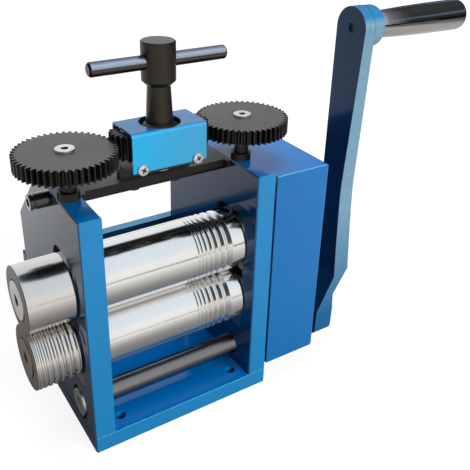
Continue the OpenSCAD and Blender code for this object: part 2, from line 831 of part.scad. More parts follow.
module bracket() {
    color("deepskyblue") difference() {
        along_x(-bracket_w / 2, axis_y, bracket_foot) linear_extrude(bracket_w)
            difference() {
                translate([0, bracket_h / 2]) round_rect(bracket_depth, bracket_h, bracket_r);
                translate([0, bracket_h / 2 - bracket_t])
                    round_rect(bracket_depth - 2 * bracket_t, bracket_h, bracket_r - bracket_t);
                translate([-bracket_depth / 2, -cut])
                    square([bracket_depth, cut + bracket_r / 2]);
            }
        translate([0, axis_y, bracket_top - bracket_t - cut])
            cylinder(d = bracket_hole_d, h = bracket_t + 2 * cut);
        bracket_screw_places() translate([0, 0, -bracket_t - cut])
            cylinder(d = bracket_screw_d + 2 * snug, h = bracket_t + 2 * cut);
    }
}

module bracket_screws() {
    color("gainsboro") bracket_screw_places() {
        rotate_extrude() intersection() {
            translate([0, bracket_head_t - bracket_head_d]) circle(r = bracket_head_d);
            square([bracket_head_d / 2, bracket_head_t]);
        }
        translate([0, 0, -bracket_t - bracket_screw_depth])
            cylinder(d = bracket_screw_d, h = bracket_t + bracket_screw_depth);
    }
}

module idler_pins() {
    color("silver") idler_places() {
        translate([0, 0, deck_z]) cylinder(d = idler_pin_d, h = idler_z0 + idler_w - deck_z);
        translate([0, 0, idler_z0 + idler_w]) cylinder(d = idler_pin_d, h = face_play);
        translate([0, 0, idler_z0 + idler_w + face_play / 2])
            cylinder(d = idler_pin_head_d, h = idler_pin_head_t - face_play / 2);
        translate([0, 0, deck_top]) cylinder(d = idler_pin_head_d, h = idler_lift - face_play);
    }
}

module screw_nuts() {
    color("dimgray") for (s = [-1, 1]) translate([s * screw_reach, axis_y, frame_h])
        difference() {
            union() {
                translate([0, 0, -nut_l]) cylinder(d = nut_d, h = nut_l);
                cylinder(d = nut_flange_d, h = nut_flange_t);
            }
            translate([0, 0, -nut_l - cut])
                cylinder(d = screw_d + 2 * run_play, h = nut_l + nut_flange_t + 2 * cut);
        }
}

// Bearing blocks, bushes and springs.

module spring_places(h) {
    for (s = [-1, 1]) translate([0, axis_y + s * spring_reach, h]) children();
}

module block_body(x, z, h) {
    translate([x + block_inset, axis_y - window_w / 2 + block_play, z])
        cube([block_t, window_w - 2 * block_play, h]);
}

module bush_bore(x, axis_h) {
    rod_x(x - cut, axis_y, axis_h, bush_d + 2 * snug, plate_t + 2 * cut);
}

module lower_block(x) {
    top = lower_axis_h + block_half_h;
    color("slategray") difference() {
        block_body(x, window_z, top - window_z);
        bush_bore(x, lower_axis_h);
        translate([x + plate_t / 2, 0, 0]) spring_places(top - pocket_depth)
            cylinder(d = spring_d + 2 * spring_play, h = pocket_depth + cut);
    }
}

module upper_block(x) {
    foot = upper_axis_h - block_half_h;
    top = upper_axis_h + block_half_h;
    half = window_w / 2 - block_play;
    color("slategray") difference() {
        along_x(x + block_inset, axis_y, 0) linear_extrude(block_t) {
            translate([-half, foot]) square([2 * half, 2 * block_half_h - block_r]);
            translate([block_r - half, foot]) square([2 * (half - block_r), 2 * block_half_h]);
            for (s = [-1, 1]) translate([s * (half - block_r), top - block_r]) circle(r = block_r);
        }
        bush_bore(x, upper_axis_h);
        translate([x + plate_t / 2, 0, 0]) spring_places(foot - cut)
            cylinder(d = spring_d + 2 * spring_play, h = pocket_depth + cut);
        translate([x + plate_t / 2, axis_y, top - foot_l - run_play])
            cylinder(d = foot_d + 2 * run_play, h = foot_l + cut);
    }
}

module roller_bushes(axis_h) {
    color("goldenrod") for (x = [x_left, x_in_right]) difference() {
        rod_x(x + block_inset, axis_y, axis_h, bush_d, block_t);
        rod_x(x, axis_y, axis_h, journal_d + 2 * run_play, plate_t);
    }
}

// A coil spring on z = 0 as one tube of six sides, its end turns lying flat.
module coil_spring(d, wire, h, turns) {
    rings_a_turn = 10;
    sides = 6;
    rings = turns * rings_a_turn;
    r = (d - wire) / 2;
    rise = h - wire;
    function ring_h(i) =
        let (turn = i / rings_a_turn)
        wire / 2 + rise * min(1, max(0, (turn - 0.7) / (turns - 1.4)));
    points = [
        for (i = [0:rings], k = [0:sides - 1])
            let (a = 360 * i / rings_a_turn, b = 360 * k / sides, q = r + wire / 2 * cos(b))
            [q * cos(a), q * sin(a), ring_h(i) + wire / 2 * sin(b)]];
    faces = [
        [for (k = [0:sides - 1]) k],
        for (i = [0:rings - 1], k = [0:sides - 1])
            let (n = (k + 1) % sides, a = i * sides, b = a + sides)
            [a + k, b + k, b + n],
        for (i = [0:rings - 1], k = [0:sides - 1])
            let (n = (k + 1) % sides, a = i * sides, b = a + sides)
            [a + k, b + n, a + n],
        [for (k = [0:sides - 1]) rings * sides + sides - 1 - k]];
    // The climb of one turn less the wire is the gap between turns.
    echo(spring_gap_between_turns = rise / (turns - 1.4) - wire);
    polyhedron(points, faces);
}

module block_springs() {
    low = lower_axis_h + block_half_h - pocket_depth + run_play;
    high = upper_axis_h - block_half_h + pocket_depth - run_play;
    color("silver") for (x = [x_left, x_in_right])
        translate([x + plate_t / 2, 0, 0]) spring_places(low)
            coil_spring(spring_d, spring_wire, high - low, spring_turns);
}

// Pressure screws with their gears.

module screw_place(side) {
    translate([side * screw_reach, axis_y, 0]) children();
}

module pressure_screw(side) {
    top = upper_axis_h + block_half_h;
    color("silver") screw_place(side) difference() {
        union() {
            translate([0, 0, top - foot_l]) cylinder(d = foot_d, h = foot_l + cut);
            translate([0, 0, top + run_play])
                cylinder(d = screw_d, h = screw_gear_z0 + screw_gear_w - top - run_play - snug);
        }
        translate([0, 0, screw_gear_z0 + screw_gear_w - gear_bolt_l - snug])
            cylinder(d = gear_bolt_d + 2 * snug, h = gear_bolt_l + cut);
    }
}

module screw_gear(side) {
    color("dimgray") screw_place(side) translate([0, 0, screw_gear_z0]) difference() {
        union() {
            rotate([0, 0, 180 / screw_gear_z]) linear_extrude(screw_gear_w)
                gear_outline(top_module, screw_gear_z, top_angle, top_backlash, 1);
            translate([0, 0, -gear_hub_h]) cylinder(d = gear_hub_d, h = gear_hub_h);
        }
        translate([0, 0, -gear_hub_h - cut])
            cylinder(d = screw_d + 2 * snug, h = gear_hub_h + screw_gear_w + 2 * cut);
    }
}

module gear_bolt(side) {
    color("gainsboro") screw_place(side) translate([0, 0, screw_gear_z0 + screw_gear_w])
        socket_screw(gear_disc_d, gear_disc_t, gear_bolt_d, gear_bolt_l, 0.4);
}

// T-handle: one turned spindle through the pinion, with the bar across its knob.

module handle_spindle() {
    knob_z = knob_top_h - knob_h;
    pinion_top = idler_z0 + idler_w;
    edge = knob_chamfer / 4;
    color("dimgray") translate([0, axis_y, 0]) difference() {
        rotate_extrude() polygon([
            [0, deck_z - collar_t - face_play],
            [spindle_journal_d / 2, deck_z - collar_t - face_play],
            [spindle_journal_d / 2, idler_z0],
            [spindle_core_d / 2, idler_z0],
            [spindle_core_d / 2, pinion_top],
            [flare_d / 2, pinion_top],
            [flare_d / 2, pinion_top + face_play],
            [stem_foot_d / 2, pinion_top + flare_h],
            [stem_top_d / 2, knob_z],
            [knob_d / 2 - knob_chamfer, knob_z],
            [knob_d / 2, knob_z + knob_chamfer],
            [knob_d / 2, knob_top_h - edge],
            [knob_d / 2 - edge, knob_top_h],
            [0, knob_top_h]]);
        rod_x(-knob_d, 0, knob_top_h - tbar_drop, tbar_d + 2 * snug, 2 * knob_d);
    }
}

module t_bar() {
    edge = tbar_d / 8;
    color("dimgray") along_x(tbar_shift - tbar_l / 2, axis_y, knob_top_h - tbar_drop)
        rotate_extrude() polygon([
            [0, 0],
            [tbar_d / 2 - edge, 0],
            [tbar_d / 2, edge],
            [tbar_d / 2, tbar_l - edge],
            [tbar_d / 2 - edge, tbar_l],
            [0, tbar_l]]);
}

module handle_pinion() {
    color("dimgray") translate([0, axis_y, idler_z0]) difference() {
        linear_extrude(idler_w) gear_outline(top_module, pinion_z, top_angle, top_backlash, 2);
        translate([0, 0, -cut]) cylinder(d = spindle_core_d + 2 * snug, h = idler_w + 2 * cut);
    }
}

module handle_collar() {
    color("silver") translate([0, axis_y, deck_z - face_play - collar_t]) difference() {
        cylinder(d = collar_d, h = collar_t);
        translate([0, 0, -cut]) cylinder(d = spindle_journal_d + 2 * snug, h = collar_t + 2 * cut);
    }
}

module idler_gear(side, turn) {
    color("dimgray") translate([side * idler_reach, axis_y, idler_z0]) difference() {
        rotate([0, 0, turn]) linear_extrude(idler_w)
            gear_outline(top_module, idler_z, top_angle, top_backlash, 2);
        translate([0, 0, -cut]) cylinder(d = idler_pin_d + 2 * run_play, h = idler_w + 2 * cut);
    }
}

// Rollers. Width of wire groove i and the distance of its centre from the barrel's right end.
function vee_w(i) = vee_first_w + (vee_last_w - vee_first_w) * pow(i / (vee_count - 1), 1.4);
function vee_from_end(i) =
    i == vee_count - 1
        ? vee_end_band + vee_w(i) / 2
        : vee_from_end(i + 1) + vee_w(i + 1) / 2 + vee_land + vee_w(i) / 2;

barrel_x = x_in_left + barrel_play;
barrel_end = x_in_right - barrel_play;
ext_x = x_left - ext_gap;

// A roller from the extension's spigot to the gear seats, revolved about its axis.
// Every groove is a right-angled notch, so it is half as deep as it is wide.
module roller(axis_h, spigot, seats) {
    r = roller_d / 2;
    c = barrel_chamfer;
    color("silver") difference() {
        along_x(0, axis_y, axis_h) rotate_extrude() polygon([
            [0, ext_x - spigot],
            [ext_spigot_d / 2, ext_x - spigot],
            [ext_spigot_d / 2, ext_x],
            [journal_d / 2, ext_x],
            [journal_d / 2, barrel_x],
            [r - c, barrel_x],
            [r, barrel_x + c],
            for (i = [0:vee_count - 1], k = [-1:1])
                [r - (k == 0 ? vee_w(i) / 2 : 0), barrel_end - vee_from_end(i) + k * vee_w(i) / 2],
            [r, barrel_end - c],
            [r - c, barrel_end],
            [journal_d / 2, barrel_end],
            [journal_d / 2, roll_gear_x],
            for (s = seats) each [[s[0] / 2, s[1]], [s[0] / 2, s[2]]],
            [0, seats[len(seats) - 1][2]]]);
        rod_x(ext_x - spigot - cut, axis_y, axis_h, ext_bolt_d + 2 * snug,
            spigot / 2 + cut + snug);
        rod_x(seats[len(seats) - 1][2] - end_bolt_depth - snug, axis_y, axis_h,
            end_bolt_d + 2 * snug, end_bolt_depth + cut);
        for (s = seats) key_block(axis_h, s, snug);
    }
}

// A key half sunk in the seat s = [diameter, start, end], on the seat's upper side.
module key_block(axis_h, s, gap) {
    margin = key_w / 4;
    translate([s[1] + margin - gap, axis_y - key_w / 2 - gap, axis_h + s[0] / 2 - key_w / 2 - gap])
        cube([s[2] - s[1] - 2 * margin + 2 * gap, key_w + 2 * gap, key_w + 2 * gap]);
}

roll_seat = [gear_seat_d, roll_gear_x, roll_gear_x + roll_gear_w];
lower_seat = [gear_seat_d, roll_gear_x, red_gear_x];
red_seat = [red_seat_d, red_gear_x, red_gear_end];

plain_spigot_l = plain_ext_l - ext_sink - ext_web;
grooved_spigot_l = grooved_ext_l - ext_sink - ext_web;

module upper_roller() {
    roller(upper_axis_h, plain_spigot_l, [roll_seat]);
}

module lower_roller() {
    roller(lower_axis_h, grooved_spigot_l, [lower_seat, red_seat]);
}

// An extension roller between its outer face and the left plate, bored for the spigot,
// the bolt and the bolt's disc head.
module extension_roller(axis_h, l) {
    color("silver") difference() {
        along_x(ext_x - l, axis_y, axis_h) rotate_extrude() difference() {
            polygon([
                [0, 0],
                [roller_d / 2 - barrel_chamfer, 0],
                [roller_d / 2, barrel_chamfer],
                [roller_d / 2, l - barrel_chamfer],
                [roller_d / 2 - barrel_chamfer, l],
                [0, l]]);
            children();
        }
        rod_x(ext_x - l - cut, axis_y, axis_h, ext_head_d + 2 * snug, cut + ext_sink + snug);
        rod_x(ext_x - l, axis_y, axis_h, ext_bolt_d + 2 * snug, l);
        rod_x(ext_x - l + ext_sink + ext_web - snug, axis_y, axis_h, ext_spigot_d + 2 * snug, l);
    }
}

module upper_extension_roller() {
    extension_roller(upper_axis_h, plain_ext_l);
}

// Width of half-round groove i, and its centre, with equal lands between the grooves.
function round_w(i) = ext_first_w + (ext_last_w - ext_first_w) * i / (ext_groove_count - 1);
round_w_sum = ext_groove_count * (ext_first_w + ext_last_w) / 2;
round_land = (grooved_ext_l - round_w_sum) / (ext_groove_count + 1);
function round_centre(i) =
    i == 0
        ? round_land + round_w(0) / 2
        : round_centre(i - 1) + round_w(i - 1) / 2 + round_land + round_w(i) / 2;

module lower_extension_roller() {
    extension_roller(lower_axis_h, grooved_ext_l)
        for (i = [0:ext_groove_count - 1])
            translate([roller_d / 2, round_centre(i)]) circle(d = round_w(i), $fn = 32);
}

module extension_bolt(axis_h, l, spigot) {
    color("gainsboro") translate([ext_x - l + ext_sink, axis_y, axis_h]) rotate([0, -90, 0])
        socket_screw(ext_head_d, ext_head_t, ext_bolt_d, ext_web + spigot / 2, 0.35);
}

// Drive gears and their keys and bolts.

module roll_gear(axis_h, turn) {
    color("dimgray") difference() {
        along_x(roll_gear_x, axis_y, axis_h) rotate([0, 0, turn])
            linear_extrude(roll_gear_w) gear_outline(roll_module, roll_z, drive_angle, roll_backlash, 3);
        rod_x(roll_gear_x - cut, axis_y, axis_h, gear_seat_d + 2 * snug, roll_gear_w + 2 * cut);
        key_block(axis_h, roll_seat, snug);
        key_block(axis_h, lower_seat, snug);
    }
}

module lower_gear_keys() {
    color("silver") {
        key_block(lower_axis_h, lower_seat, 0);
        key_block(lower_axis_h, red_seat, 0);
    }
}

module reduction_gear() {
    color("dimgray") difference() {
        along_x(red_gear_x, axis_y, lower_axis_h) rotate([0, 0, 180 / red_z])
            linear_extrude(red_gear_w) gear_outline(red_module, red_z, drive_angle, red_backlash, 2);
        rod_x(red_gear_x - cut, axis_y, lower_axis_h, red_seat_d + 2 * snug, red_gear_w + 2 * cut);
        key_block(lower_axis_h, red_seat, snug);
    }
}

module end_bolt(axis_h, x) {
    color("dimgray") {
        rod_x(x, axis_y, axis_h, end_washer_d, end_washer_t);
        translate([x + end_washer_t, axis_y, axis_h]) rotate([0, 90, 0])
            cylinder(d = end_head_d, h = end_head_t, $fn = hex);
        rod_x(x - end_bolt_depth, axis_y, axis_h, end_bolt_d, end_bolt_depth + cut);
    }
}

// Gear cover on four pillars, open to the right plate and at the bottom.

cover_y = axis_y - red_module * (red_z / 2 + 1) - cover_gear_gap - cover_wall;
cover_back = y_back - cover_back_inset;
cover_top = frame_h - cover_drop;
// The rear slope runs parallel to the plate's, inside its line.
cover_slope = rear_slope - cover_drop + cover_back_inset;

// The cover's side outline, drawn in by a distance, and open below when asked.
module cover_outline(inset, drop) {
    run = inset * tan(22.5);
    polygon([
        [cover_y + inset, cover_z - drop],
        [cover_back - inset, cover_z - drop],
        [cover_back - inset, cover_top - cover_slope - run],
        [cover_back - cover_slope - run, cover_top - inset],
        [cover_y + inset, cover_top - inset]]);
}

module cover_pillar_places() {
    front = cover_y + pillar_inset;
    back = cover_back - pillar_inset;
    slope_share = 0.62;
    for (p = [
        [front, cover_z + pillar_inset],
        [back, cover_z + pillar_inset],
        [front, cover_top - pillar_inset],
        [cover_back - cover_slope * slope_share - pillar_inset,
            cover_top - cover_slope * (1 - slope_share) - pillar_inset]])
        along_x(0, p[0], p[1]) children();
}

module gear_cover() {
    wall_x = cover_x - cover_wall;
    color("royalblue") difference() {
        along_x(x_right, 0, 0) hull() {
            linear_extrude(cover_w - cover_r) cover_outline(0, 0);
            linear_extrude(cover_w - cover_r * 0.3) cover_outline(cover_r * 0.3, 0);
            linear_extrude(cover_w) cover_outline(cover_r, 0);
        }
        along_x(x_right - cut, 0, 0) linear_extrude(cover_w - cover_wall + cut)
            cover_outline(cover_wall, cut);
        rod_x(wall_x - cut, axis_y, crank_h, outer_bush_d + 2 * snug, cover_wall + 2 * cut);
        cover_pillar_places() translate([0, 0, wall_x - cut])
            cylinder(d = cover_screw_d + 2 * snug, h = cover_wall + 2 * cut);
    }
}

module cover_pillars() {
    color("silver") cover_pillar_places() difference() {
        translate([0, 0, x_right]) cylinder(d = pillar_d, h = cover_w - cover_wall);
        translate([0, 0, cover_x - cover_wall - cover_screw_depth - snug])
            cylinder(d = cover_screw_d + 2 * snug, h = cover_screw_depth + cut);
    }
}

module cover_screws() {
    color("dimgray") cover_pillar_places() translate([0, 0, cover_x])
        socket_screw(cover_head_d, cover_head_t, cover_screw_d, cover_wall + cover_screw_depth, 0.5);
}

// Crank: shaft, bushes, arm and grip. The crank leans about its own axis at rest.

module on_crank() {
    translate([0, axis_y, crank_h]) rotate([crank_lean, 0, 0]) children();
}

module crank_bush() {
    color("goldenrod") difference() {
        union() {
            rod_x(red_gear_end + arm_gap + cut, axis_y, crank_h, outer_bush_d,
                hub_x - arm_gap - red_gear_end - arm_gap - cut);
            rod_x(cover_x, axis_y, crank_h, bush_flange_d, bush_flange_t);
        }
        rod_x(red_gear_end, axis_y, crank_h, outer_journal_d + 2 * run_play, hub_x - red_gear_end);
    }
}

module inner_crank_bush() {
    color("goldenrod") difference() {
        rod_x(x_right - inner_bush_l, axis_y, crank_h, inner_bush_d, inner_bush_l);
        rod_x(x_right - inner_bush_l - cut, axis_y, crank_h, inner_journal_d + 2 * run_play,
            inner_bush_l + 2 * cut);
    }
}

// The crank shaft's end in the arm, round with one flat.
module arm_seat(gap, l) {
    d = arm_seat_d + 2 * gap;
    difference() {
        cylinder(d = d, h = l);
        translate([-d / 2, d / 2 - arm_flat, -cut]) cube([d, d, l + 2 * cut]);
    }
}

module crank_shaft() {
    shoulder = red_gear_end + arm_gap;
    start = x_right - inner_bush_l + face_play;
    color("silver") on_crank() difference() {
        union() {
            rod_x(start, 0, 0, inner_journal_d, roll_gear_x - start);
            rod_x(roll_gear_x, 0, 0, pinion_seat_d, shoulder - roll_gear_x);
            rod_x(shoulder, 0, 0, outer_journal_d, hub_x - shoulder);
            along_x(hub_x, 0, 0) arm_seat(0, hub_w - face_play);
        }
        rod_x(arm_x - face_play - crank_bolt_depth, 0, 0, crank_bolt_d + 2 * snug,
            crank_bolt_depth + cut);
    }
}

module crank_pinion() {
    color("dimgray") translate([0, axis_y, crank_h]) difference() {
        union() {
            along_x(red_gear_x, 0, 0) linear_extrude(red_gear_w)
                gear_outline(red_module, crank_z, drive_angle, red_backlash, 3);
            rod_x(red_gear_end, 0, 0, outer_journal_d, arm_gap);
        }
        rod_x(red_gear_x - cut, 0, 0, pinion_seat_d + 2 * snug, red_gear_w + arm_gap + 2 * cut);
    }
}

// Half the arm's width at height s above the crank's axis: the hub narrows to the waist,
// and the arm then widens a little up to the grip.
function arm_half(s) =
    s < waist_h
        ? waist_half + (hub_half - waist_half) * pow(1 - max(s, 0) / waist_h, 1.3)
        : waist_half + (tip_half - waist_half) * pow((s - waist_h) / (crank_throw - waist_h), 1.15);

// The arm seen along the shaft.
module arm_front() {
    steps = 24;
    heights = [for (k = [0:steps]) crank_throw * k / steps];
    right = [for (s = heights) [arm_half(s), s]];
    left = [for (k = [steps:-1:0]) [-right[k][0], right[k][1]]];
    polygon(concat(right, left, [[-hub_half, hub_r - hub_drop], [hub_half, hub_r - hub_drop]]));
    translate([0, crank_throw]) circle(r = tip_half);
    translate([hub_r - hub_half, -hub_drop]) square([2 * (hub_half - hub_r), hub_r]);
    for (s = [-1, 1]) translate([s * (hub_half - hub_r), hub_r - hub_drop]) circle(r = hub_r);
}

// The arm seen from the front: the hub at the bottom, the joggle and the tapering blade.
module arm_side() {
    top = crank_throw + 2 * tip_half;
    polygon([
        [hub_x, -hub_drop - cut],
        [arm_x, -hub_drop - cut],
        [arm_x, joggle_out_h],
        [arm_x + arm_low_t, joggle_out_end],
        [arm_x + arm_top_t, top],
        [arm_x, top],
        [arm_x, joggle_in_end],
        [hub_x, joggle_in_h]]);
}

module crank_arm() {
    l = hub_w + arm_low_t + 2 * cut;
    depth = 4 * hub_half;
    color("steelblue") on_crank() difference() {
        union() {
            intersection() {
                along_x(hub_x - cut, 0, 0) linear_extrude(l) arm_front();
                translate([0, depth / 2, 0]) rotate([90, 0, 0]) linear_extrude(depth) arm_side();
            }
            along_x(arm_x + arm_top_t / 2, 0, crank_throw) rotate_extrude() {
                boss = boss_h + arm_top_t / 2;
                square([boss_d / 2, boss - boss_r]);
                square([boss_d / 2 - boss_r, boss]);
                translate([boss_d / 2 - boss_r, boss - boss_r]) circle(r = boss_r);
            }
        }
        along_x(hub_x - cut, 0, 0) arm_seat(snug, hub_w + 2 * cut);
        rod_x(arm_x - cut, 0, crank_throw, spindle_d + 2 * snug, arm_top_t + boss_h + 2 * cut);
    }
}

module crank_bolt() {
    color("silver") on_crank() {
        rod_x(arm_x, 0, 0, crank_washer_d, crank_washer_t);
        translate([arm_x + crank_washer_t, 0, 0]) rotate([0, 90, 0])
            cylinder(d = crank_head_d, h = crank_head_t, $fn = hex);
        rod_x(arm_x - crank_bolt_depth, 0, 0, crank_bolt_d, crank_bolt_depth + cut);
    }
}

// Radius of the grip at share t of its length: it swells fast beside the arm and is widest
// near its far end.
swell_share = 0.95;
function grip_r(t) =
    grip_neck_d / 2 + (grip_d - grip_neck_d) / 2 * sin(90 * pow(t / swell_share, 0.7));

module hand_grip() {
    steps = 16;
    straight = grip_l - grip_end_r;
    end_r = grip_r(straight / grip_l);
    color("dimgray") on_crank() along_x(grip_x, 0, crank_throw) difference() {
        rotate_extrude() polygon([
            [0, face_play],
            for (k = [0:steps])
                let (x = straight * k / steps)
                [grip_r(x / grip_l), max(x, face_play)],
            for (a = [15:15:90])
                [end_r - grip_end_r * (1 - cos(a)), straight + grip_end_r * sin(a)],
            [0, grip_l]]);
        cylinder(d = spindle_d + 2 * run_play, h = straight);
    }
}

module grip_spindle() {
    color("silver") on_crank()
        rod_x(arm_x + spindle_sink, 0, crank_throw, spindle_d,
            grip_x - arm_x - spindle_sink + grip_l - grip_end_r - cut);
}

module grip_washer() {
    color("dimgray") on_crank() along_x(grip_x - grip_washer_t, 0, crank_throw) difference() {
        cylinder(d = grip_washer_d, h = grip_washer_t);
        translate([0, 0, -cut]) cylinder(d = spindle_d + 2 * snug, h = grip_washer_t + 2 * cut);
    }
}

base_plate();
left_side_plate();
right_side_plate();
rear_plate();
rear_plate_screws();
base_screws();
tie_rod();
tie_rod_screw();
cross_bar();
cross_bar_screws();
bridge_block();
bridge_screws();
bracket();
bracket_screws();
idler_pins();
screw_nuts();
lower_block(x_left);  // lower_left_bearing_block
lower_block(x_in_right);  // lower_right_bearing_block
roller_bushes(lower_axis_h);  // lower_roller_bushes
gear_cover();
cover_pillars();
cover_screws();
crank_bush();
inner_crank_bush();
block_springs();
upper_block(x_left);  // upper_left_bearing_block
upper_block(x_in_right);  // upper_right_bearing_block
roller_bushes(upper_axis_h);  // upper_roller_bushes
pressure_screw(-1);  // left_pressure_screw
screw_gear(-1);  // left_screw_gear
gear_bolt(-1);  // left_gear_bolt
pressure_screw(1);  // right_pressure_screw
screw_gear(1);  // right_screw_gear
gear_bolt(1);  // right_gear_bolt
handle_spindle();
t_bar();
handle_pinion();
handle_collar();
idler_gear(-1, 180 / idler_z);  // left_idler_gear
idler_gear(1, 0);  // right_idler_gear
upper_roller();
upper_extension_roller();
extension_bolt(upper_axis_h, plain_ext_l, plain_spigot_l);  // upper_extension_bolt
roll_gear(upper_axis_h, 180 / roll_z);  // upper_roll_gear
key_block(upper_axis_h, roll_seat, 0);  // upper_gear_key
end_bolt(upper_axis_h, roll_gear_x + roll_gear_w);  // upper_gear_bolt
lower_roller();
lower_extension_roller();
extension_bolt(lower_axis_h, grooved_ext_l, grooved_spigot_l);  // lower_extension_bolt
roll_gear(lower_axis_h, 0);  // lower_roll_gear
reduction_gear();
lower_gear_keys();
end_bolt(lower_axis_h, red_gear_end);  // lower_gear_bolt
crank_shaft();
crank_pinion();
crank_arm();
crank_bolt();
grip_spindle();
grip_washer();
hand_grip();
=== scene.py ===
import math

import bpy
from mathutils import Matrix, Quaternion, Vector


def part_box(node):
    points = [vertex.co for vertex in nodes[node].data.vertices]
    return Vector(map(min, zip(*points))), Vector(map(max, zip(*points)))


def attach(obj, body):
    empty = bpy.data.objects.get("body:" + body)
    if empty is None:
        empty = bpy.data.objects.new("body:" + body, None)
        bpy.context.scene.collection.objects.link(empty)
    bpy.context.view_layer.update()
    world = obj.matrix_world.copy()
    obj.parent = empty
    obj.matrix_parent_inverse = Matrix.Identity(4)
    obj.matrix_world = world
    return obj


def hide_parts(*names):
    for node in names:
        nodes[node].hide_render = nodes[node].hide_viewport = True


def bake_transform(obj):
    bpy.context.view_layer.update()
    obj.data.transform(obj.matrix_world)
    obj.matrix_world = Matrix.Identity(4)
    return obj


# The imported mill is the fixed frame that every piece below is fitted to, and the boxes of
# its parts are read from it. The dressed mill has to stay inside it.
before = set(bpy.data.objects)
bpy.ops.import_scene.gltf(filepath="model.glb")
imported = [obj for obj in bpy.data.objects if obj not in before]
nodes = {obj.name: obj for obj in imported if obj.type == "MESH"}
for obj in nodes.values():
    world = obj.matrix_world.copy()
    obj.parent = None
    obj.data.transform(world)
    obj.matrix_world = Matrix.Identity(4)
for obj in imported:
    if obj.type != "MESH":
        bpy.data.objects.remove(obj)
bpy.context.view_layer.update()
MM = 0.001
MICRON = MM / 1000
bpy.ops.object.select_all(action="DESELECT")

# The camera stands left of the mill and above it, as the photographer did, a little
# tilted, with the picture's centre a short way off the lens's axis.
camera_place = Vector((-179.9, -384.5, 366.2)) * MM
camera_turn, camera_tilt, camera_roll = (math.radians(a) for a in (-33.17, 26.59, 1.59))
camera_back = Vector((
    math.sin(camera_turn) * math.cos(camera_tilt),
    -math.cos(camera_turn) * math.cos(camera_tilt),
    math.sin(camera_tilt)))
lens = bpy.data.cameras.new("camera")
lens.lens, lens.sensor_width = 51.24, 36
lens.shift_x, lens.shift_y = 0.0168, -0.0857
lens.clip_start, lens.clip_end = 0.01, 50
camera = bpy.data.objects.new("camera", lens)
camera.location = camera_place
camera.rotation_mode = "QUATERNION"
camera.rotation_quaternion = (
    camera_back.to_track_quat("Z", "Y") @ Quaternion((0, 0, 1), camera_roll))
bpy.context.scene.collection.objects.link(camera)
bpy.context.scene.camera = camera
bpy.context.scene.view_settings.view_transform = "Standard"


# The studio: a pale floor, a white surround that the camera and bright metal see, and two
# wide soft lamps, one in front of the mill and one over it.
class Value:
    """An output of a shader node, or anything worked out from such outputs."""

    def __init__(self, graph, socket):
        self.graph = graph
        self.socket = socket

    def math(self, operation, other):
        return self.graph.node("Math", {"operation": operation}, {0: self, 1: other})

    def __add__(self, other):
        return self.math("ADD", other)

    def __mul__(self, other):
        return self.math("MULTIPLY", other)

    def __pow__(self, other):
        return self.math("POWER", other)

    __radd__ = __add__
    __rmul__ = __mul__


class Graph:
    """The nodes of one material or of the world."""

    def __init__(self, owner):
        owner.use_nodes = True
        self.tree = owner.node_tree
        self.tree.nodes.clear()

    def node(self, kind, settings=None, inputs=None, output=0):
        """Any node: its settings come first, then the values or links of its sockets."""
        made = self.tree.nodes.new("ShaderNode" + kind)
        for name, value in (settings or {}).items():
            if name == "stops":
                ramp = made.color_ramp.elements
                while len(ramp) < len(value):
                    ramp.new(1)
                for stop, (place, colour) in zip(ramp, value):
                    stop.position, stop.color = place, (*colour, 1)
            else:
                setattr(made, name, value)
        for name, value in (inputs or {}).items():
            if isinstance(value, Value):
                self.tree.links.new(value.socket, made.inputs[name])
            else:
                made.inputs[name].default_value = value
        return Value(self, made.outputs[output]) if made.outputs else None

    def axis(self, vector, letter):
        """The X, Y or Z of a vector."""
        return self.node("SeparateXYZ", {}, {0: vector}, letter)

    def length(self, vector):
        return self.node("VectorMath", {"operation": "LENGTH"}, {0: vector}, "Value")

    def place(self):
        """Places on the piece, in metres."""
        return self.node("TexCoord", output="Object")

    def mix(self, factor, first, second):
        return self.node("Mix", {"data_type": "RGBA"}, {0: factor, 6: first, 7: second}, 2)

    def blend(self, value, *stops):
        """Colours along a value, each given as (value from 0 to 1, colour)."""
        return self.node("ValToRGB", {"stops": stops}, {0: value})

    def ramp(self, value, low, high):
        """0 at low and 1 at high, straight between them."""
        return self.node("MapRange", {}, {
            "Value": value, "From Min": low, "From Max": high, "To Min": 0, "To Max": 1})

    def noise(self, scale, detail, stretch=(1, 1, 1)):
        """Soft random shades; stretch multiplies each axis of the piece's places."""
        spread = self.node("Mapping", {}, {"Vector": self.place(), "Scale": stretch})
        return self.node("TexNoise", {}, {
            "Vector": spread, "Scale": scale, "Detail": detail, "Roughness": 0.5})

    def bump(self, height, depth, under=None):
        """Height from 0 to 1 stands for a real depth in metres."""
        inputs = {"Height": height, "Distance": depth, "Strength": 1}
        if under:
            inputs["Normal"] = under
        return self.node("Bump", {}, inputs)


def grey(level):
    return (level, level, level, 1)


ambient_level = 0.05
ambient_colour = (0.92, 0.96, 1, 1)
dark_left = (0.07, 0.065, 0.06, 1)
world = bpy.data.worlds.new("surround")
bpy.context.scene.world = world
sky = Graph(world)
is_camera = sky.node("LightPath", output="Is Camera Ray")
is_glossy = sky.node("LightPath", output="Is Glossy Ray")
is_clear = sky.node("LightPath", output="Is Transmission Ray")
direction = sky.node("TexCoord", output="Generated")
skyward = sky.axis(direction, "Z")
rightward = sky.axis(direction, "X")
white_wall = sky.blend(
    skyward, (0, (0.98, 0.97, 0.96)), (0.3, (1, 1, 1)), (0.42, (0.95, 0.98, 1)),
    (0.6, (0.84, 0.93, 1)), (1, (0.8, 0.9, 0.98)))
dark_wall = sky.blend(
    skyward, (0, (0.06, 0.045, 0.035)), (0.2, (0.05, 0.05, 0.055)), (0.34, (0.2, 0.3, 0.42)),
    (0.46, (0.06, 0.065, 0.075)), (1, (0.12, 0.12, 0.12)))
left_wall = sky.mix(sky.ramp(rightward, -0.32, -0.5), white_wall, dark_left)
wall = sky.mix(sky.ramp(rightward, 0.54, 0.68), left_wall, dark_wall)
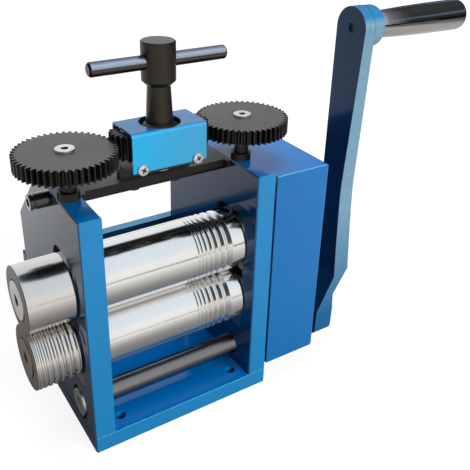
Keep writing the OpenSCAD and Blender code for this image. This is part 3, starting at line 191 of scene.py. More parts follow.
sharp = sky.node("Background", {}, {"Color": sky.mix(is_camera, wall, grey(1)), "Strength": 1})
soft = sky.node("Background", {}, {"Color": ambient_colour, "Strength": ambient_level})
is_seen = is_camera.math("MAXIMUM", is_glossy.math("MAXIMUM", is_clear))
surround = sky.node("MixShader", {}, {0: is_seen, 1: soft, 2: sharp})
sky.node("OutputWorld", {}, {"Surface": surround})

floor_size = 60
floor_drop = 0.2 * MM
bpy.ops.mesh.primitive_plane_add(size=floor_size, location=(0, 0, -floor_drop))
floor = bpy.context.object
floor.name = "floor"
floor_paint = bpy.data.materials.new("floor_paint")
paper = Graph(floor_paint)
matt = paper.node("BsdfDiffuse", {}, {"Color": (0.2, 0.196, 0.19, 1)})
spot = paper.place()
reach = paper.length(spot)
lit_near = paper.mix(paper.ramp(reach, 0.25, 0.7), grey(0.88), grey(1))
# Seen in metal, the floor glows with a painted shadow of the mill round it, brighter behind and
# black to the right.
shaded_near = paper.blend(
    reach * 0.25, (0, (0.02, 0.02, 0.02)), (0.03, (0.1, 0.095, 0.09)),
    (0.065, (0.4, 0.39, 0.375)), (0.125, (0.6, 0.59, 0.57)), (0.25, (0.7, 0.69, 0.67)),
    (1, (1, 1, 1)))
bright_behind = paper.mix(paper.ramp(paper.axis(spot, "Y"), 0.14, 0.42), shaded_near, grey(1))
dark_right = paper.mix(paper.ramp(paper.axis(spot, "X"), 0.6, 0.85), bright_behind, grey(0))
camera_glow = paper.node("Emission", {}, {"Color": lit_near, "Strength": 1})
metal_glow = paper.node("Emission", {}, {"Color": dark_right, "Strength": 1})
camera_view = paper.node("AddShader", {}, {0: matt, 1: camera_glow})
metal_view = paper.node("AddShader", {}, {0: matt, 1: metal_glow})
other_views = paper.node("MixShader", {}, {
    0: paper.node("LightPath", output="Is Glossy Ray"), 1: matt, 2: metal_view})
floor_view = paper.node("MixShader", {}, {
    0: paper.node("LightPath", output="Is Camera Ray"), 1: other_views, 2: camera_view})
paper.node("OutputMaterial", {}, {"Surface": floor_view})
floor.data.materials.append(floor_paint)


def soft_lamp(name, place, target, size, power, colour):
    light = bpy.data.lights.new(name, "AREA")
    light.shape, light.size = "SQUARE", size
    light.energy, light.color = power, colour
    lamp = bpy.data.objects.new(name, light)
    lamp.location = place
    lamp.rotation_mode = "QUATERNION"
    lamp.rotation_quaternion = (Vector(place) - Vector(target)).to_track_quat("Z", "Y")
    lamp.visible_glossy = False
    bpy.context.scene.collection.objects.link(lamp)


soft_lamp("front_lamp", (0.55, -1.7, 0.9), (0, 0, 0.12), 1.3, 36, (1, 0.98, 0.96))
soft_lamp("top_lamp", (0.1, 0.1, 1.9), (0, 0, 0.1), 1.2, 20, (0.94, 0.98, 1))


# Base plate: thick flat steel with its edges broken and four bench holes, in gloss blue paint
# with painted shade by facing and a painted highlight along its upper front edges.
def deselect():
    bpy.ops.object.select_all(action="DESELECT")


def select(piece):
    deselect()
    piece.select_set(True)
    bpy.context.view_layer.objects.active = piece


def edit():
    bpy.ops.object.mode_set(mode="EDIT")
    bpy.ops.mesh.select_all(action="SELECT")


def done():
    bpy.ops.object.mode_set(mode="OBJECT")


def smooth(piece, angle=32):
    """Smooth shading that leaves large flat faces truly flat."""
    select(piece)
    bpy.ops.object.shade_smooth_by_angle(angle=math.radians(angle))
    weighted = piece.modifiers.new("flat", "WEIGHTED_NORMAL")
    weighted.keep_sharp = True
    bpy.ops.object.modifier_apply(modifier="flat")


def refined(node, edge, steps=2, angle=32):
    """The solid of a node, merged, with its sharp edges rounded by edge metres."""
    piece = bpy.data.objects.new(node + "_finished", nodes[node].data.copy())
    bpy.context.scene.collection.objects.link(piece)
    select(piece)
    edit()
    bpy.ops.mesh.remove_doubles(threshold=2 * MICRON)
    bpy.ops.mesh.dissolve_limited(angle_limit=math.radians(0.5))
    done()
    rounding = piece.modifiers.new("edge", "BEVEL")
    rounding.width = edge
    rounding.segments = steps
    rounding.limit_method = "ANGLE"
    rounding.angle_limit = math.radians(angle)
    rounding.use_clamp_overlap = True
    bpy.ops.object.modifier_apply(modifier="edge")
    smooth(piece, angle)
    return piece


def finish_piece(piece, material, body, slot, *replaced):
    """Paints a piece, fixes it to its body and hides the nodes that it stands for."""
    piece.data.materials.clear()
    piece.data.materials.append(material)
    for face in piece.data.polygons:
        face.material_index = 0
    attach(piece, body)
    if replaced:
        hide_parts(*replaced)


def refine(names, edge, material, body, slot, steps=2, angle=32):
    """Finishes nodes whose solids already have the real shape."""
    for name in names:
        finish_piece(refined(name, edge, steps, angle), material, body, slot, name)


def repaint(piece, material, chosen):
    """Gives one more material to the faces that a rule chooses."""
    piece.data.materials.append(material)
    for face in piece.data.polygons:
        if chosen(face):
            face.material_index = len(piece.data.materials) - 1


def surface(
        name, colour, roughness, metallic=0.0, coat=0.0, coat_roughness=0.03, normal=None,
        specular=0.5):
    """A new material; its colour and the rest may be rules that work on its graph."""
    material = bpy.data.materials.new(name)
    graph = Graph(material)
    colour, roughness, metallic, normal = (
        part(graph) if callable(part) else part for part in (colour, roughness, metallic, normal))
    inputs = {
        "Base Color": colour, "Roughness": roughness, "Metallic": metallic,
        "Coat Weight": coat, "Coat Roughness": coat_roughness, "Specular IOR Level": specular}
    if normal:
        inputs["Normal"] = normal
    shader = graph.node("BsdfPrincipled", {}, inputs)
    graph.node("OutputMaterial", {}, {"Surface": shader})
    return material


def painted_facing_shade(graph, front, sloped, upper, left):
    """Painted light and shade by the way a face looks: the front colour towards the front, a
    painted shade on slopes, another painted tone on top, and the darkest painted shade towards the
    left."""
    facing = graph.node("TexCoord", output="Normal")
    lift = graph.axis(facing, "Z")
    leftward = graph.ramp(graph.axis(facing, "X"), -0.3, -0.9)
    sloping = graph.mix(graph.ramp(lift, 0.3, 0.6), front, sloped)
    return graph.mix(leftward, graph.mix(graph.ramp(lift, 0.92, 0.99), sloping, upper), left)


def frame_paint(name, front, front_thick, upper=(0, 0.185, 0.6)):
    """Gloss blue paint, a little uneven, with a fine skin from the spray gun, and painted light
    and shade by the way each face looks.
    """
    return surface(
        name,
        colour=lambda g: painted_facing_shade(
            g, g.mix(g.noise(35, 3), (*front, 1), (*front_thick, 1)),
            (0, 0.07, 0.5, 1), (*upper, 1), (0.004, 0.09, 0.26, 1)),
        roughness=lambda g: 0.26 + 0.1 * g.noise(260, 2),
        metallic=0.04,
        coat=0.9,
        coat_roughness=0.12,
        specular=0.0,
        normal=lambda g: g.bump(g.noise(420, 2), 12 * MICRON, g.bump(g.noise(60, 1), 30 * MICRON)))


blue_paint = frame_paint("blue_paint", (0.01, 0.255, 0.61), (0.013, 0.285, 0.65))
# A painted highlight for the narrow rounded edges that look to the front and upwards.
edge_highlight = surface(
    "edge_highlight",
    colour=lambda g: g.mix(g.noise(80, 3), (0.22, 0.78, 1, 1), (0.3, 0.86, 1, 1)),
    roughness=0.3,
    coat=0.9,
    coat_roughness=0.1,
    specular=0.0)
plate_edge = 0.7 * MM
widest_strip = 0.9 * MM
shortest_strip = 3 * MM


def painted(name, angle=32, paint=blue_paint):
    """A painted piece, with a painted highlight on its narrow upper front edges."""
    piece = refined(name, plate_edge, 2, angle)
    finish_piece(piece, paint, "frame", "blue_paint", name)
    points = piece.data.vertices

    def on_edge(face):
        ends = [points[k].co for k in face.vertices]
        longest = max((a - b).length for a, b in zip(ends, ends[1:] + ends[:1]))
        is_strip = face.area / longest < widest_strip and longest > shortest_strip
        return is_strip and face.normal.y < -0.2 and face.normal.z > 0.05

    repaint(piece, edge_highlight, on_edge)
    return piece


painted("base_plate")


# Side plates and the plate across the back: sawn and milled steel, screwed to the base and
# painted with it. The back plate's paint is a painted shade, lighter on top, and the walls
# of the side plates' windows are painted black as shade.
rear_shade_paint = frame_paint(
    "rear_shade_paint", (0.006, 0.06, 0.17), (0.008, 0.07, 0.2), (0.06, 0.33, 0.56))
painted("rear_plate", paint=rear_shade_paint)
window_shade_black = surface(
    "window_shade_black",
    colour=lambda g: g.mix(g.noise(200, 3), (0.006, 0.007, 0.01, 1), (0.012, 0.012, 0.014, 1)),
    roughness=0.55)
window_low, window_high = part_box("lower_left_bearing_block")
window_slack = 1 * MM
plate_rim = 4 * MM
base_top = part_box("base_plate")[1].z
for name in ("left_side_plate", "right_side_plate"):
    plate = painted(name)
    plate.visible_glossy = False
    plate_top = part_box(name)[1].z
    # The walls inside the windows are painted black: painted shade in the recesses.
    repaint(plate, window_shade_black, lambda face: (
        abs(face.normal.x) < 0.5
        and base_top + window_slack < face.center.z < plate_top - plate_rim
        and window_low.y - window_slack < face.center.y < window_high.y + window_slack))


# Screws of the frame: socket-headed steel screws, blackened in a hot bath. They come up
# through the base and in from the back, and hold the plates together.
def blackened(name, colour=(0.017, 0.016, 0.016), gloss=0.34, speck=5 * MICRON, coat=0.0):
    """Steel blackened in a hot bath: nearly black, brownish in places, oiled."""
    brownish = (colour[0] * 2.2, colour[1] * 1.9, colour[2] * 1.7, 1)
    return surface(
        name,
        colour=lambda g: g.mix(g.ramp(g.noise(90, 4), 0.35, 0.75), (*colour, 1), brownish),
        roughness=lambda g: gloss + 0.16 * g.noise(140, 4),
        metallic=0.35,
        coat=coat,
        coat_roughness=0.15,
        normal=lambda g: g.bump(g.noise(900, 3), speck))


black_steel = blackened("black_steel")
screw_edge = 0.2 * MM
refine(["base_screws", "rear_plate_screws"], screw_edge, black_steel, "frame", "black_steel")


# Tie rod: a turned and ground steel bar between the plates, low at the front, with a
# flat-headed socket screw through the left plate.
def axle(node):
    """Where the axis of a piece turned about the X direction crosses the middle plane."""
    low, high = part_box(node)
    return Vector((0, (low.y + high.y) / 2, (low.z + high.z) / 2))


def lathe(name, profile, centre, axis="X", steps=96):
    """Turns a line of (place along the axis, radius) points about an axis."""
    along, outward = {
        "X": (Vector((1, 0, 0)), Vector((0, -1, 0))),
        "Y": (Vector((0, 1, 0)), Vector((0, 0, 1)))}[axis]
    line = [centre + along * place + outward * radius for place, radius in profile]
    deselect()
    bpy.ops.mesh.primitive_plane_add(size=MM)
    piece = bpy.context.object
    piece.name = name
    edit()
    bpy.ops.mesh.merge(type="CENTER")
    bpy.ops.transform.translate(value=line[0])
    for here, there in zip(line, line[1:]):
        bpy.ops.mesh.extrude_region_move(TRANSFORM_OT_translate={"value": there - here})
    bpy.ops.mesh.select_all(action="SELECT")
    bpy.ops.mesh.spin(steps=steps, angle=2 * math.pi, center=centre, axis=along)
    bpy.ops.mesh.select_all(action="SELECT")
    bpy.ops.mesh.remove_doubles(threshold=2 * MICRON)
    bpy.ops.mesh.normals_make_consistent(inside=False)
    done()
    smooth(piece)
    return piece


def rounded(place, radius, reach, inward, steps=3):
    """Points of a rounded outer edge at place, going towards the axis when inward is 1
    and away from it when inward is -1."""
    angles = [math.pi / 2 * k / steps for k in range(steps + 1)]
    points = [
        (place - reach * (1 - math.sin(a)), radius - reach * (1 - math.cos(a))) for a in angles]
    return points if inward == 1 else [(2 * place - p, r) for p, r in reversed(points)]


ring_density = 2600
ring_stretch = (1, 0.012, 0.012)


def ground(name, base, gloss, depth):
    """Steel ground on a lathe: fine rings round the X direction, in slowly changing shades."""
    return surface(
        name,
        colour=lambda g: g.mix(g.noise(30, 2), (*base, 1), (*(b * 0.9 for b in base), 1)),
        roughness=lambda g: gloss + 0.1 * g.noise(ring_density, 2, ring_stretch),
        metallic=1.0,
        normal=lambda g: g.bump(g.noise(ring_density, 3, ring_stretch), depth))


rod_low, rod_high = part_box("tie_rod")
rod_radius = (rod_high.z - rod_low.z) / 2
rod_edge = 0.4 * MM
plate_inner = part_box("left_side_plate")[1].x
turned_steel = ground("turned_steel", (0.26, 0.25, 0.24), 0.24, 0.05 * MICRON)
rod_profile = [
    (plate_inner, 0), *rounded(plate_inner, rod_radius, rod_edge, -1),
    *rounded(-plate_inner, rod_radius, rod_edge, 1), (-plate_inner, 0)]
tie_rod = lathe("tie_rod_turned", rod_profile, axle("tie_rod"))
finish_piece(tie_rod, turned_steel, "frame", "bright_steel", "tie_rod")


def bright(name, base=(0.6, 0.59, 0.57), gloss=0.3):
    """Bright zinc-plated or plain steel of small parts, with handling marks."""
    return surface(
        name,
        colour=lambda g: g.mix(g.noise(250, 3), (*base, 1), (*(b * 0.8 for b in base), 1)),
        roughness=lambda g: gloss + 0.15 * g.noise(500, 3),
        metallic=1.0,
        normal=lambda g: g.bump(g.noise(1500, 2), 0.6 * MICRON))


bright_steel = bright("bright_steel")
flat_head_edge = 0.35 * MM
refine(["tie_rod_screw"], flat_head_edge, bright_steel, "frame", "bright_steel")


# Cross bar: a milled bar of blackened steel between the tops of the plates, with a painted
# grey sheen above. A long cap screw that stands out holds its left end, and a flush one its right.
gear_black = blackened("gear_black", (0.004, 0.0038, 0.0036), 0.36, 8 * MICRON, 0.1)
# A painted grey sheen for the faces that look up.
upward_sheen_black = surface(
    "upward_sheen_black",
    colour=lambda g: g.mix(g.noise(45, 4), (0.085, 0.083, 0.08, 1), (0.12, 0.117, 0.112, 1)),
    roughness=lambda g: 0.42 + 0.12 * g.noise(160, 4),
    metallic=0.3,
    normal=lambda g: g.bump(g.noise(1400, 2), 3 * MICRON))
oiled_black = surface(
    "oiled_black",
    colour=lambda g: g.mix(g.noise(90, 4), (0.006, 0.006, 0.008, 1), (0.012, 0.012, 0.014, 1)),
    roughness=lambda g: 0.22 + 0.1 * g.noise(300, 3),
    coat=1.0,
    coat_roughness=0.06)
bar_edge = 0.4 * MM
cap_edge = 0.5 * MM


def looks_up(face):
    return face.normal.z > 0.9


cross_bar = refined("cross_bar", bar_edge)
finish_piece(cross_bar, gear_black, "frame", "black_steel", "cross_bar")
repaint(cross_bar, upward_sheen_black, looks_up)
refine(["cross_bar_screws"], cap_edge, oiled_black, "frame", "black_steel")


# Bridge block and its screws: blackened steel, screwed to the cross bar. The idlers' pins
# and the foot of the T-handle stand in it, and the bracket hides it.
block_edge = 0.3 * MM
refine(["bridge_block", "bridge_screws"], block_edge, black_steel, "frame", "black_steel")


# Bracket: bright blue sheet steel bent over the idlers and the pinion. Two domed screws
# with cross recesses hold its front to the bridge block.
bracket_low, bracket_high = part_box("bracket")
bend_height = 1.2 * MM


def bracket_blue(graph):
    """Painted light and shade on one blue: lit bright cyan at the left end, shaded to a duller sky
    blue at the right, and a painted shade on top.
    """
    along = graph.ramp(graph.axis(graph.place(), "X"), bracket_low.x, bracket_high.x)
    front = graph.mix(along ** 0.7, (0.0, 0.5, 0.93, 1), (0.045, 0.39, 0.72, 1))
    upper = graph.ramp(
        graph.axis(graph.place(), "Z"), bracket_high.z - bend_height, bracket_high.z)
    return graph.mix(upper, front, (0.03, 0.2, 0.5, 1))


bracket_paint = surface(
    "bracket_paint",
    colour=bracket_blue,
    roughness=lambda g: 0.24 + 0.1 * g.noise(260, 2),
    metallic=0.1,
    coat=0.9,
    coat_roughness=0.1,
    specular=0.0,
    normal=lambda g: g.bump(g.noise(60, 1), 20 * MICRON))
refine(["bracket"], block_edge, bracket_paint, "frame", "bright_blue_paint", angle=28)


def cut_from(piece, *cutters):
    """Takes the cutters out of the piece and throws them away."""
    for cutter in cutters:
        cut = piece.modifiers.new("cut", "BOOLEAN")
        cut.operation, cut.solver, cut.object = "DIFFERENCE", "EXACT", cutter
        select(piece)
        bpy.ops.object.modifier_apply(modifier="cut")
        bpy.data.objects.remove(cutter)
    smooth(piece)


def slab(place, size, turn):
    """A block to cut with, turned about the Y direction."""
    deselect()
    bpy.ops.mesh.primitive_cube_add(size=1, location=place, rotation=(0, turn, 0), scale=size)
    bpy.ops.object.transform_apply(location=True, rotation=True, scale=True)
    return bpy.context.object


screw_low, screw_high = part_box("bracket_screws")
screw_radius = (screw_high.z - screw_low.z) / 2
screw_white = bright("screw_white", (0.95, 0.94, 0.92), 0.34)
head_front = screw_low.y
dome = 0.5 * MM
recess_depth = 0.7 * MM
recess_size = (0.95 * screw_radius, 2 * recess_depth, 0.24 * screw_radius)
head_profile = [
    (head_front, 0), (head_front, 0.45 * screw_radius),
    (head_front + 0.3 * dome, 0.8 * screw_radius), (head_front + dome, 0.97 * screw_radius),
    (head_front + 1.4 * dome, screw_radius), (bracket_low.y, screw_radius), (bracket_low.y, 0)]
screw_places = (screw_low.x + screw_radius, screw_high.x - screw_radius)
recess_turns = (0.5, 1.1)
for number, (place, turn) in enumerate(zip(screw_places, recess_turns), 1):
    centre = Vector((place, 0, (screw_low.z + screw_high.z) / 2))
    head = lathe(f"bracket_screw_{number}", head_profile, centre, axis="Y", steps=48)
    cut_from(head, *(
        slab((centre.x, head_front, centre.z), recess_size, turn + quarter)
        for quarter in (0, math.pi / 2)))
    finish_piece(head, screw_white, "frame", "bright_steel")
    # The faces inside the cross recess are painted black: painted shade.
    repaint(head, black_steel, lambda face: (
        face.center.y > head_front + 0.2 * dome
        and (face.center - centre).xz.length < 0.6 * screw_radius))
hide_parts("bracket_screws")
refine(["idler_pins"], screw_edge, bright_steel, "frame", "bright_steel")


# Nuts of the pressure screws: flanged bushes of black steel, threaded inside and let into
# the tops of the side plates.
refine(["screw_nuts"], block_edge, gear_black, "frame", "black_steel")


# Bearing blocks: milled steel with bronze bushes for the rollers' journals. The lower pair
# stands in the windows of the plates, and the upper pair slides above it.
milled_steel = bright("milled_steel", (0.3, 0.3, 0.31), 0.36)
bronze = bright("bronze", (0.62, 0.4, 0.16), 0.3)
row_bodies = {"lower": "frame", "upper": "carriage"}
for row, body in row_bodies.items():
    blocks = [f"{row}_{side}_bearing_block" for side in ("left", "right")]
    refine(blocks, block_edge, milled_steel, body, "block_steel")
for row, body in row_bodies.items():
    refine([row + "_roller_bushes"], screw_edge, bronze, body, "bronze")


# Springs between the lower and upper blocks: wound steel wire with closed ends. They push
# the upper blocks up and stretch as these rise; here each is wound at one fixed length.
def coil(name, centre, low, high, radius, wire, turns):
    """A wire wound round the Z direction, its ends flat for part of a turn."""
    steps = turns * 24
    flat_share = 0.7 / turns
    line = bpy.data.curves.new(name, "CURVE")
    line.dimensions = "3D"
    line.bevel_depth = wire / 2
    line.bevel_resolution = 3
    line.use_fill_caps = True
    spline = line.splines.new("POLY")
    spline.points.add(steps)
    for k, point in enumerate(spline.points):
        share = k / steps
        climb = min(1, max(0, (share - flat_share) / (1 - 2 * flat_share)))
        angle = 2 * math.pi * turns * share
        point.co = (
            centre[0] + radius * math.cos(angle),
            centre[1] + radius * math.sin(angle),
            low + wire / 2 + (high - low - wire) * climb, 1)
    spring = bpy.data.objects.new(name, line)
    bpy.context.scene.collection.objects.link(spring)
    select(spring)
    bpy.ops.object.convert(target="MESH")
    smooth(spring, 60)
    return spring


spring_low, spring_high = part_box("block_springs")
spring_wire = 1.0 * MM
spring_radius = 3.0 * MM
spring_turns = 7
spring_half = spring_radius + spring_wire / 2
spring_steel = bright("spring_steel", (0.42, 0.42, 0.44), 0.25)
spring_places = [
    (x, y) for x in (spring_half - spring_high.x, spring_high.x - spring_half)
    for y in (spring_low.y + spring_half, spring_high.y - spring_half)]
for number, place in enumerate(spring_places, 1):
    spring = coil(
        f"block_spring_{number}", place, spring_low.z, spring_high.z, spring_radius,
        spring_wire, spring_turns)
    spring.data.materials.append(spring_steel)
    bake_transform(spring)
    if number == 1:
        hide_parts("block_springs")


# Rollers: hardened steel, ground to a mirror, with seven square-wire grooves that widen
# towards the right end. They turn in the bearing blocks, and the drive gears sit on the
# steps at their right ends.
mirror_steel = ground("mirror_steel", (0.88, 0.87, 0.86), 0.1, 0.12 * MICRON)
roller_low, roller_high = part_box("upper_roller")
roller_radius = (roller_high.z - roller_low.z) / 2
barrel_play = 0.5 * MM
barrel_edge = 0.6 * MM
journal_radius, spigot_radius = 12 * MM, 8 * MM
groove_count = 7
groove_first, groove_last, groove_land = 1.2 * MM, 5 * MM, 1.3 * MM
groove_band = 10.4 * MM
notch_shares = (
    (-1.12, 0), (-1, 0.03), (-0.9, 0.12), (-0.16, 0.84), (0, 0.9), (0.16, 0.84),
    (0.9, 0.12), (1, 0.03), (1.12, 0))


def groove_widths(first, last, count, power):
    return [first + (last - first) * (k / (count - 1)) ** power for k in range(count)]


def barrel_profile(start, end):
    """A barrel with rounded ends and right-angled grooves near its right end."""
    notches = []
    place = end - groove_band
    for width in reversed(groove_widths(groove_first, groove_last, groove_count, 1.4)):
        notches.append((place - width / 2, width / 2))
        place -= width + groove_land
    points = rounded(start, roller_radius, barrel_edge, -1)
    for middle, half in reversed(notches):
        points += [
            (middle + along * half, roller_radius - down * half) for along, down in notch_shares]
    return points + rounded(end, roller_radius, barrel_edge, 1)


def roller(name, node, seats):
    """A roller with its journals; seats are (start, radius) of the steps under its gears."""
    low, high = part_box(node)
    start = plate_inner + barrel_play
    spigot_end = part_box("upper_extension_roller")[1].x
    profile = [
        (low.x, 0), (low.x, spigot_radius), (spigot_end, spigot_radius),
        (spigot_end, journal_radius), (start, journal_radius),
        *barrel_profile(start, -start), (-start, journal_radius)]
    radius = journal_radius
    for place, smaller in seats:
        profile += [(place, radius), (place, smaller)]
        radius = smaller
    profile += [(high.x, radius), (high.x, 0)]
    piece = lathe(name, profile, axle(node), steps=128)
    finish_piece(piece, mirror_steel, node, "polished_steel", node)


gear_seat = (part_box("upper_roll_gear")[0].x, 10 * MM)
reduction_seat = (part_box("reduction_gear")[0].x, 8 * MM)
roller("lower_roller_ground", "lower_roller", [gear_seat, reduction_seat])
roller("upper_roller_ground", "upper_roller", [gear_seat])


# Extension rollers outside the left plate: the upper one plain, the lower one with
# half-round grooves that widen towards the plate. Their ends are left as turned, and a
# disc-headed bolt sinks into each.
outer_steel = surface(
    "outer_steel",
    colour=lambda g: g.mix(g.noise(30, 2), (0.72, 0.7, 0.67, 1), (0.66, 0.63, 0.6, 1)),
    roughness=lambda g: 0.15 + 0.08 * g.noise(ring_density, 2, ring_stretch),
    metallic=1.0,
    normal=lambda g: g.bump(g.noise(ring_density, 3, ring_stretch), 0.1 * MICRON))
recess_reach = 2 * MM
recess_gap = 0.8 * MM
painted_shade_rim = 0.35 * MM


def turned_rings(graph, centre, scale):
    """Rings round the X direction through centre, as a lathe tool leaves on an end face."""
    offset = graph.node(
        "VectorMath", {"operation": "SUBTRACT"}, {0: graph.place(), 1: centre})
    flat = graph.node("VectorMath", {"operation": "MULTIPLY"}, {0: offset, 1: (0, 1, 1)})
    return graph.node("TexNoise", {"noise_dimensions": "1D"}, {
        "W": graph.length(flat), "Scale": scale, "Detail": 2})


def extension(name, row, groove_sizes=(), land=0):
    node = row + "_extension_roller"
    low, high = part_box(node)
    centre = axle(node)
    head_low, head_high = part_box(row + "_extension_bolt")
    recess_radius = (head_high.z - head_low.z) / 2 + recess_gap
    seat = low.x + recess_reach
    profile = [(seat, 0), (seat, recess_radius), (low.x, recess_radius)]
    profile += rounded(low.x, roller_radius, barrel_edge, -1)
    place = low.x + land
    for width in groove_sizes:
        middle = place + width / 2
        profile += [
            (middle - width / 2 * math.cos(a), roller_radius - 0.6 * width / 2 * math.sin(a))
            for a in (math.pi * k / 8 for k in range(9))]
        place += width + land
    profile += [*rounded(high.x, roller_radius, barrel_edge, 1), (high.x, 0)]
    piece = lathe(name, profile, centre, steps=128)
    end_steel = surface(
        name + "_end",
        colour=lambda g: g.mix(
            turned_rings(g, centre, 900), (0.14, 0.12, 0.105, 1), (0.24, 0.215, 0.195, 1)),
        roughness=0.36,
        metallic=0.9,
        normal=lambda g: g.bump(turned_rings(g, centre, 1800), 4 * MICRON))
    finish_piece(piece, outer_steel, row + "_roller", "polished_steel", node)
    repaint(piece, end_steel, lambda face: face.normal.x < -0.9)
    # The end chamfer and the wall of the bolt's recess are painted black: painted shade.
    repaint(piece, black_steel, lambda face: face.center.x < low.x + painted_shade_rim and (
        -0.9 < face.normal.x < -0.3 or (face.center - centre).length < 0.9 * roller_radius
        and abs(face.normal.x) < 0.5))


extension_low, extension_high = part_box("lower_extension_roller")
round_sizes = groove_widths(1.5 * MM, 4.6 * MM, 7, 1)
round_land = (extension_high.x - extension_low.x - sum(round_sizes)) / (len(round_sizes) + 1)
extension("lower_extension_ground", "lower", round_sizes, round_land)
extension("upper_extension_ground", "upper")
disc_steel = bright("disc_steel", (0.93, 0.92, 0.9), 0.36)
brownish_shaded_steel = bright("brownish_shaded_steel", (0.34, 0.28, 0.22), 0.28)
socket_shade_black = blackened("socket_shade_black", (0.01, 0.01, 0.01), 0.5)
bolt_edge = 0.4 * MM
bolt_socket_radius, bolt_socket_reach = 4.8 * MM, 6 * MM
# The lower bolt's head is a darker brownish steel than the upper one's: painted shade.
for row, steel in (("upper", disc_steel), ("lower", brownish_shaded_steel)):
    node = row + "_extension_bolt"
    bolt = refined(node, bolt_edge)
    finish_piece(bolt, steel, row + "_roller", "bright_steel", node)
    low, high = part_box(node)
    centre = (low + high) / 2
    # The socket's faces are painted black: painted shade in the recess.
    repaint(bolt, socket_shade_black, lambda face: (
        (face.center - centre).yz.length < bolt_socket_radius
        and low.x + bolt_edge < face.center.x < low.x + bolt_socket_reach))


# Drive gears on the right ends of the rollers: machined steel, keyed to their seats and
# held by end bolts. They run greased under the cover.
gear_steel = bright("gear_steel", (0.26, 0.25, 0.24), 0.3)
drive_gears = {
    "upper_roller": ["upper_roll_gear"],
    "lower_roller": ["lower_roll_gear", "reduction_gear"]}
keys_and_bolts = {
    "upper_roller": ["upper_gear_key", "upper_gear_bolt"],
    "lower_roller": ["lower_gear_keys", "lower_gear_bolt"]}
for body, gears in drive_gears.items():
    refine(gears, block_edge, gear_steel, body, "gear_steel")
for body, fixings in keys_and_bolts.items():
    refine(fixings, screw_edge, bright_steel, body, "bright_steel")


# Gear cover: a deep shell with rounded outer edges, in the frame's blue, held on four steel
# pillars by black screws. The crank shaft runs in a bronze bush here and one in the plate.
cover_paint = frame_paint("cover_paint", (0, 0.175, 0.53), (0.001, 0.2, 0.57))
painted("gear_cover", 40, cover_paint)
refine(["cover_pillars"], screw_edge, bright_steel, "frame", "bright_steel")
refine(["cover_screws"], screw_edge, black_steel, "frame", "black_steel")
refine(["crank_bush", "inner_crank_bush"], block_edge, bronze, "frame", "bronze")


# Pressure screws: black threaded steel that presses the upper blocks down. Each carries a
# big spur gear on top, its upper face in a painted grey sheen, held by a bolt with a bright disc
# for a head.
gear_edge = 0.18 * MM
disc_edge = 0.25 * MM
disc_socket_radius = 3 * MM
disc_socket_top, disc_socket_floor = 0.2 * MM, 1.3 * MM
for side in ("left", "right"):
    body = side + "_screw"
    refine([side + "_pressure_screw"], screw_edge, gear_black, body, "black_steel")
    gear = refined(side + "_screw_gear", gear_edge, 1)
    finish_piece(gear, gear_black, body, "black_steel", side + "_screw_gear")
    repaint(gear, upward_sheen_black, looks_up)
    disc = refined(side + "_gear_bolt", disc_edge)
    finish_piece(disc, disc_steel, body, "bright_steel", side + "_gear_bolt")
    low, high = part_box(side + "_gear_bolt")
    centre = (low + high) / 2
    # The socket's faces are painted black: painted shade in the recess.
    repaint(disc, socket_shade_black, lambda face: (
        (face.center - centre).xy.length < disc_socket_radius
        and high.z - disc_socket_floor < face.center.z < high.z - disc_socket_top))


# Idler gears: black steel, one each side of the handle's pinion inside the bracket. They
# turn on pins and drive the two big gears.
tooth_edge = 0.15 * MM
for side in ("left", "right"):
    refine([side + "_idler_gear"], tooth_edge, gear_black, side + "_idler", "black_steel", 1)


# T-handle: a turned black spindle with a knob, the pinion and a collar at its foot, and a
# polished bar pushed through the knob.
satin_black = surface(
    "satin_black",
    colour=lambda g: g.mix(g.noise(90, 4), (0.038, 0.033, 0.028, 1), (0.052, 0.044, 0.036, 1)),
    roughness=lambda g: 0.3 + 0.08 * g.noise(1800, 2, (0.02, 0.02, 1)),
    metallic=0.75,
    specular=0.3,
    normal=lambda g: g.bump(g.noise(1800, 2, (0.02, 0.02, 1)), 1 * MICRON))
bar_low, bar_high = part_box("t_bar")
bar_end, bar_end_full = 1.4 * MM, 0.7 * MM


def bar_painted_sheen(graph):
    """Painted reflection: black below and at the ends, a painted blue-grey shine on top."""
    along = graph.axis(graph.place(), "X")
    height = graph.ramp(graph.axis(graph.place(), "Z"), bar_low.z, bar_high.z)
    painted_reflection = graph.blend(
        height, (0, (0.008, 0.006, 0.004)), (0.34, (0.05, 0.04, 0.03)),
        (0.44, (0.12, 0.11, 0.1)), (0.5, (0.012, 0.012, 0.014)), (0.6, (0.25, 0.28, 0.33)),
        (0.82, (0.46, 0.53, 0.66)), (1, (0.05, 0.06, 0.09)))
    left = graph.ramp(along, bar_low.x + bar_end, bar_low.x + bar_end_full)
    right = graph.ramp(along, bar_high.x - bar_end, bar_high.x - bar_end_full)
    return graph.mix(left + right, painted_reflection, (0.01, 0.01, 0.012, 1))


bar_sheen_black = surface(
    "bar_sheen_black",
    colour=bar_painted_sheen,
    roughness=lambda g: 0.12 + 0.08 * g.noise(300, 2),
    metallic=0.9,
    normal=lambda g: g.bump(g.noise(500, 2), 0.8 * MICRON))
knob_edge = 0.4 * MM
refine(["handle_pinion"], tooth_edge, gear_black, "handle", "black_steel", 1)
refine(["handle_collar"], screw_edge, bright_steel, "handle", "bright_steel")
refine(["handle_spindle"], knob_edge, satin_black, "handle", "black_steel")
refine(["t_bar"], knob_edge, bar_sheen_black, "handle", "gloss_black_steel")


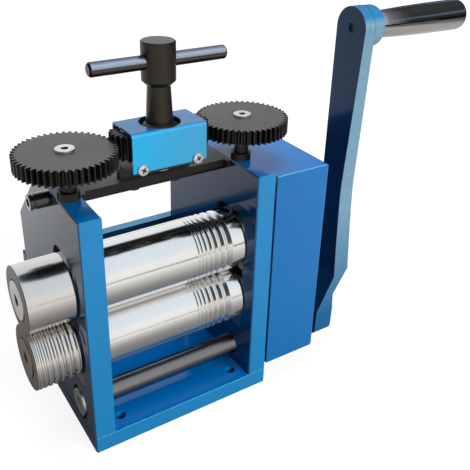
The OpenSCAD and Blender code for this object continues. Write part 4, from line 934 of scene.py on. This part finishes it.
# Crank: a forged arm in hammered blue paint on the crank shaft, with its pinion, washer
# and bolt, and the spindle that carries the grip.
arm_low, arm_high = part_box("crank_arm")
arm_edge = 0.9 * MM
hub_reach, blade_reach = 20 * MM, 110 * MM


def hammered_front(graph):
    """The silvery blue of the arm's front, a deeper painted shade towards the hub."""
    blade = graph.mix(graph.noise(500, 2), (0.15, 0.34, 0.5, 1), (0.3, 0.52, 0.68, 1))
    rise = graph.ramp(
        graph.axis(graph.place(), "Z"), arm_low.z + hub_reach, arm_low.z + blade_reach)
    return graph.mix(rise, (0.01, 0.17, 0.42, 1), blade)


# Through the facing rule the arm's slopes, top and left faces carry painted shade.
hammered_blue = surface(
    "hammered_blue",
    colour=lambda g: painted_facing_shade(
        g, hammered_front(g), (0.04, 0.25, 0.52, 1), (0.05, 0.25, 0.5, 1), (0.006, 0.06, 0.15, 1)),
    roughness=lambda g: 0.34 + 0.15 * g.noise(500, 2),
    metallic=0.25,
    coat=0.45,
    coat_roughness=0.15,
    specular=0.0,
    normal=lambda g: g.bump(g.noise(520, 1), 250 * MICRON))
arm = refined("crank_arm", arm_edge, 3)
select(arm)
edit()
bpy.ops.mesh.dissolve_degenerate(threshold=20 * MICRON)
bpy.ops.mesh.dissolve_limited(angle_limit=math.radians(0.3))
bpy.ops.mesh.quads_convert_to_tris(quad_method="BEAUTY", ngon_method="BEAUTY")
done()
smooth(arm)
finish_piece(arm, hammered_blue, "crank", "hammered_blue_paint", "crank_arm")
refine(["crank_shaft", "crank_bolt"], block_edge, bright_steel, "crank", "bright_steel")
refine(["crank_pinion"], screw_edge, gear_steel, "crank", "gear_steel", 1)
refine(["grip_spindle"], block_edge, black_steel, "crank", "black_steel")
refine(["grip_washer"], tooth_edge, black_steel, "crank", "black_steel")


# Grip: a polished black sleeve that swells towards its far end. It turns freely on its
# spindle, with the washer between it and the arm.
gloss_black = surface(
    "gloss_black",
    colour=lambda g: g.mix(g.noise(60, 3), (0.36, 0.36, 0.37, 1), (0.42, 0.415, 0.41, 1)),
    roughness=lambda g: 0.04 + 0.04 * g.noise(300, 2),
    metallic=1.0,
    normal=lambda g: g.bump(g.noise(500, 2), 0.5 * MICRON))
refine(["hand_grip"], block_edge, gloss_black, "grip", "gloss_black_steel")
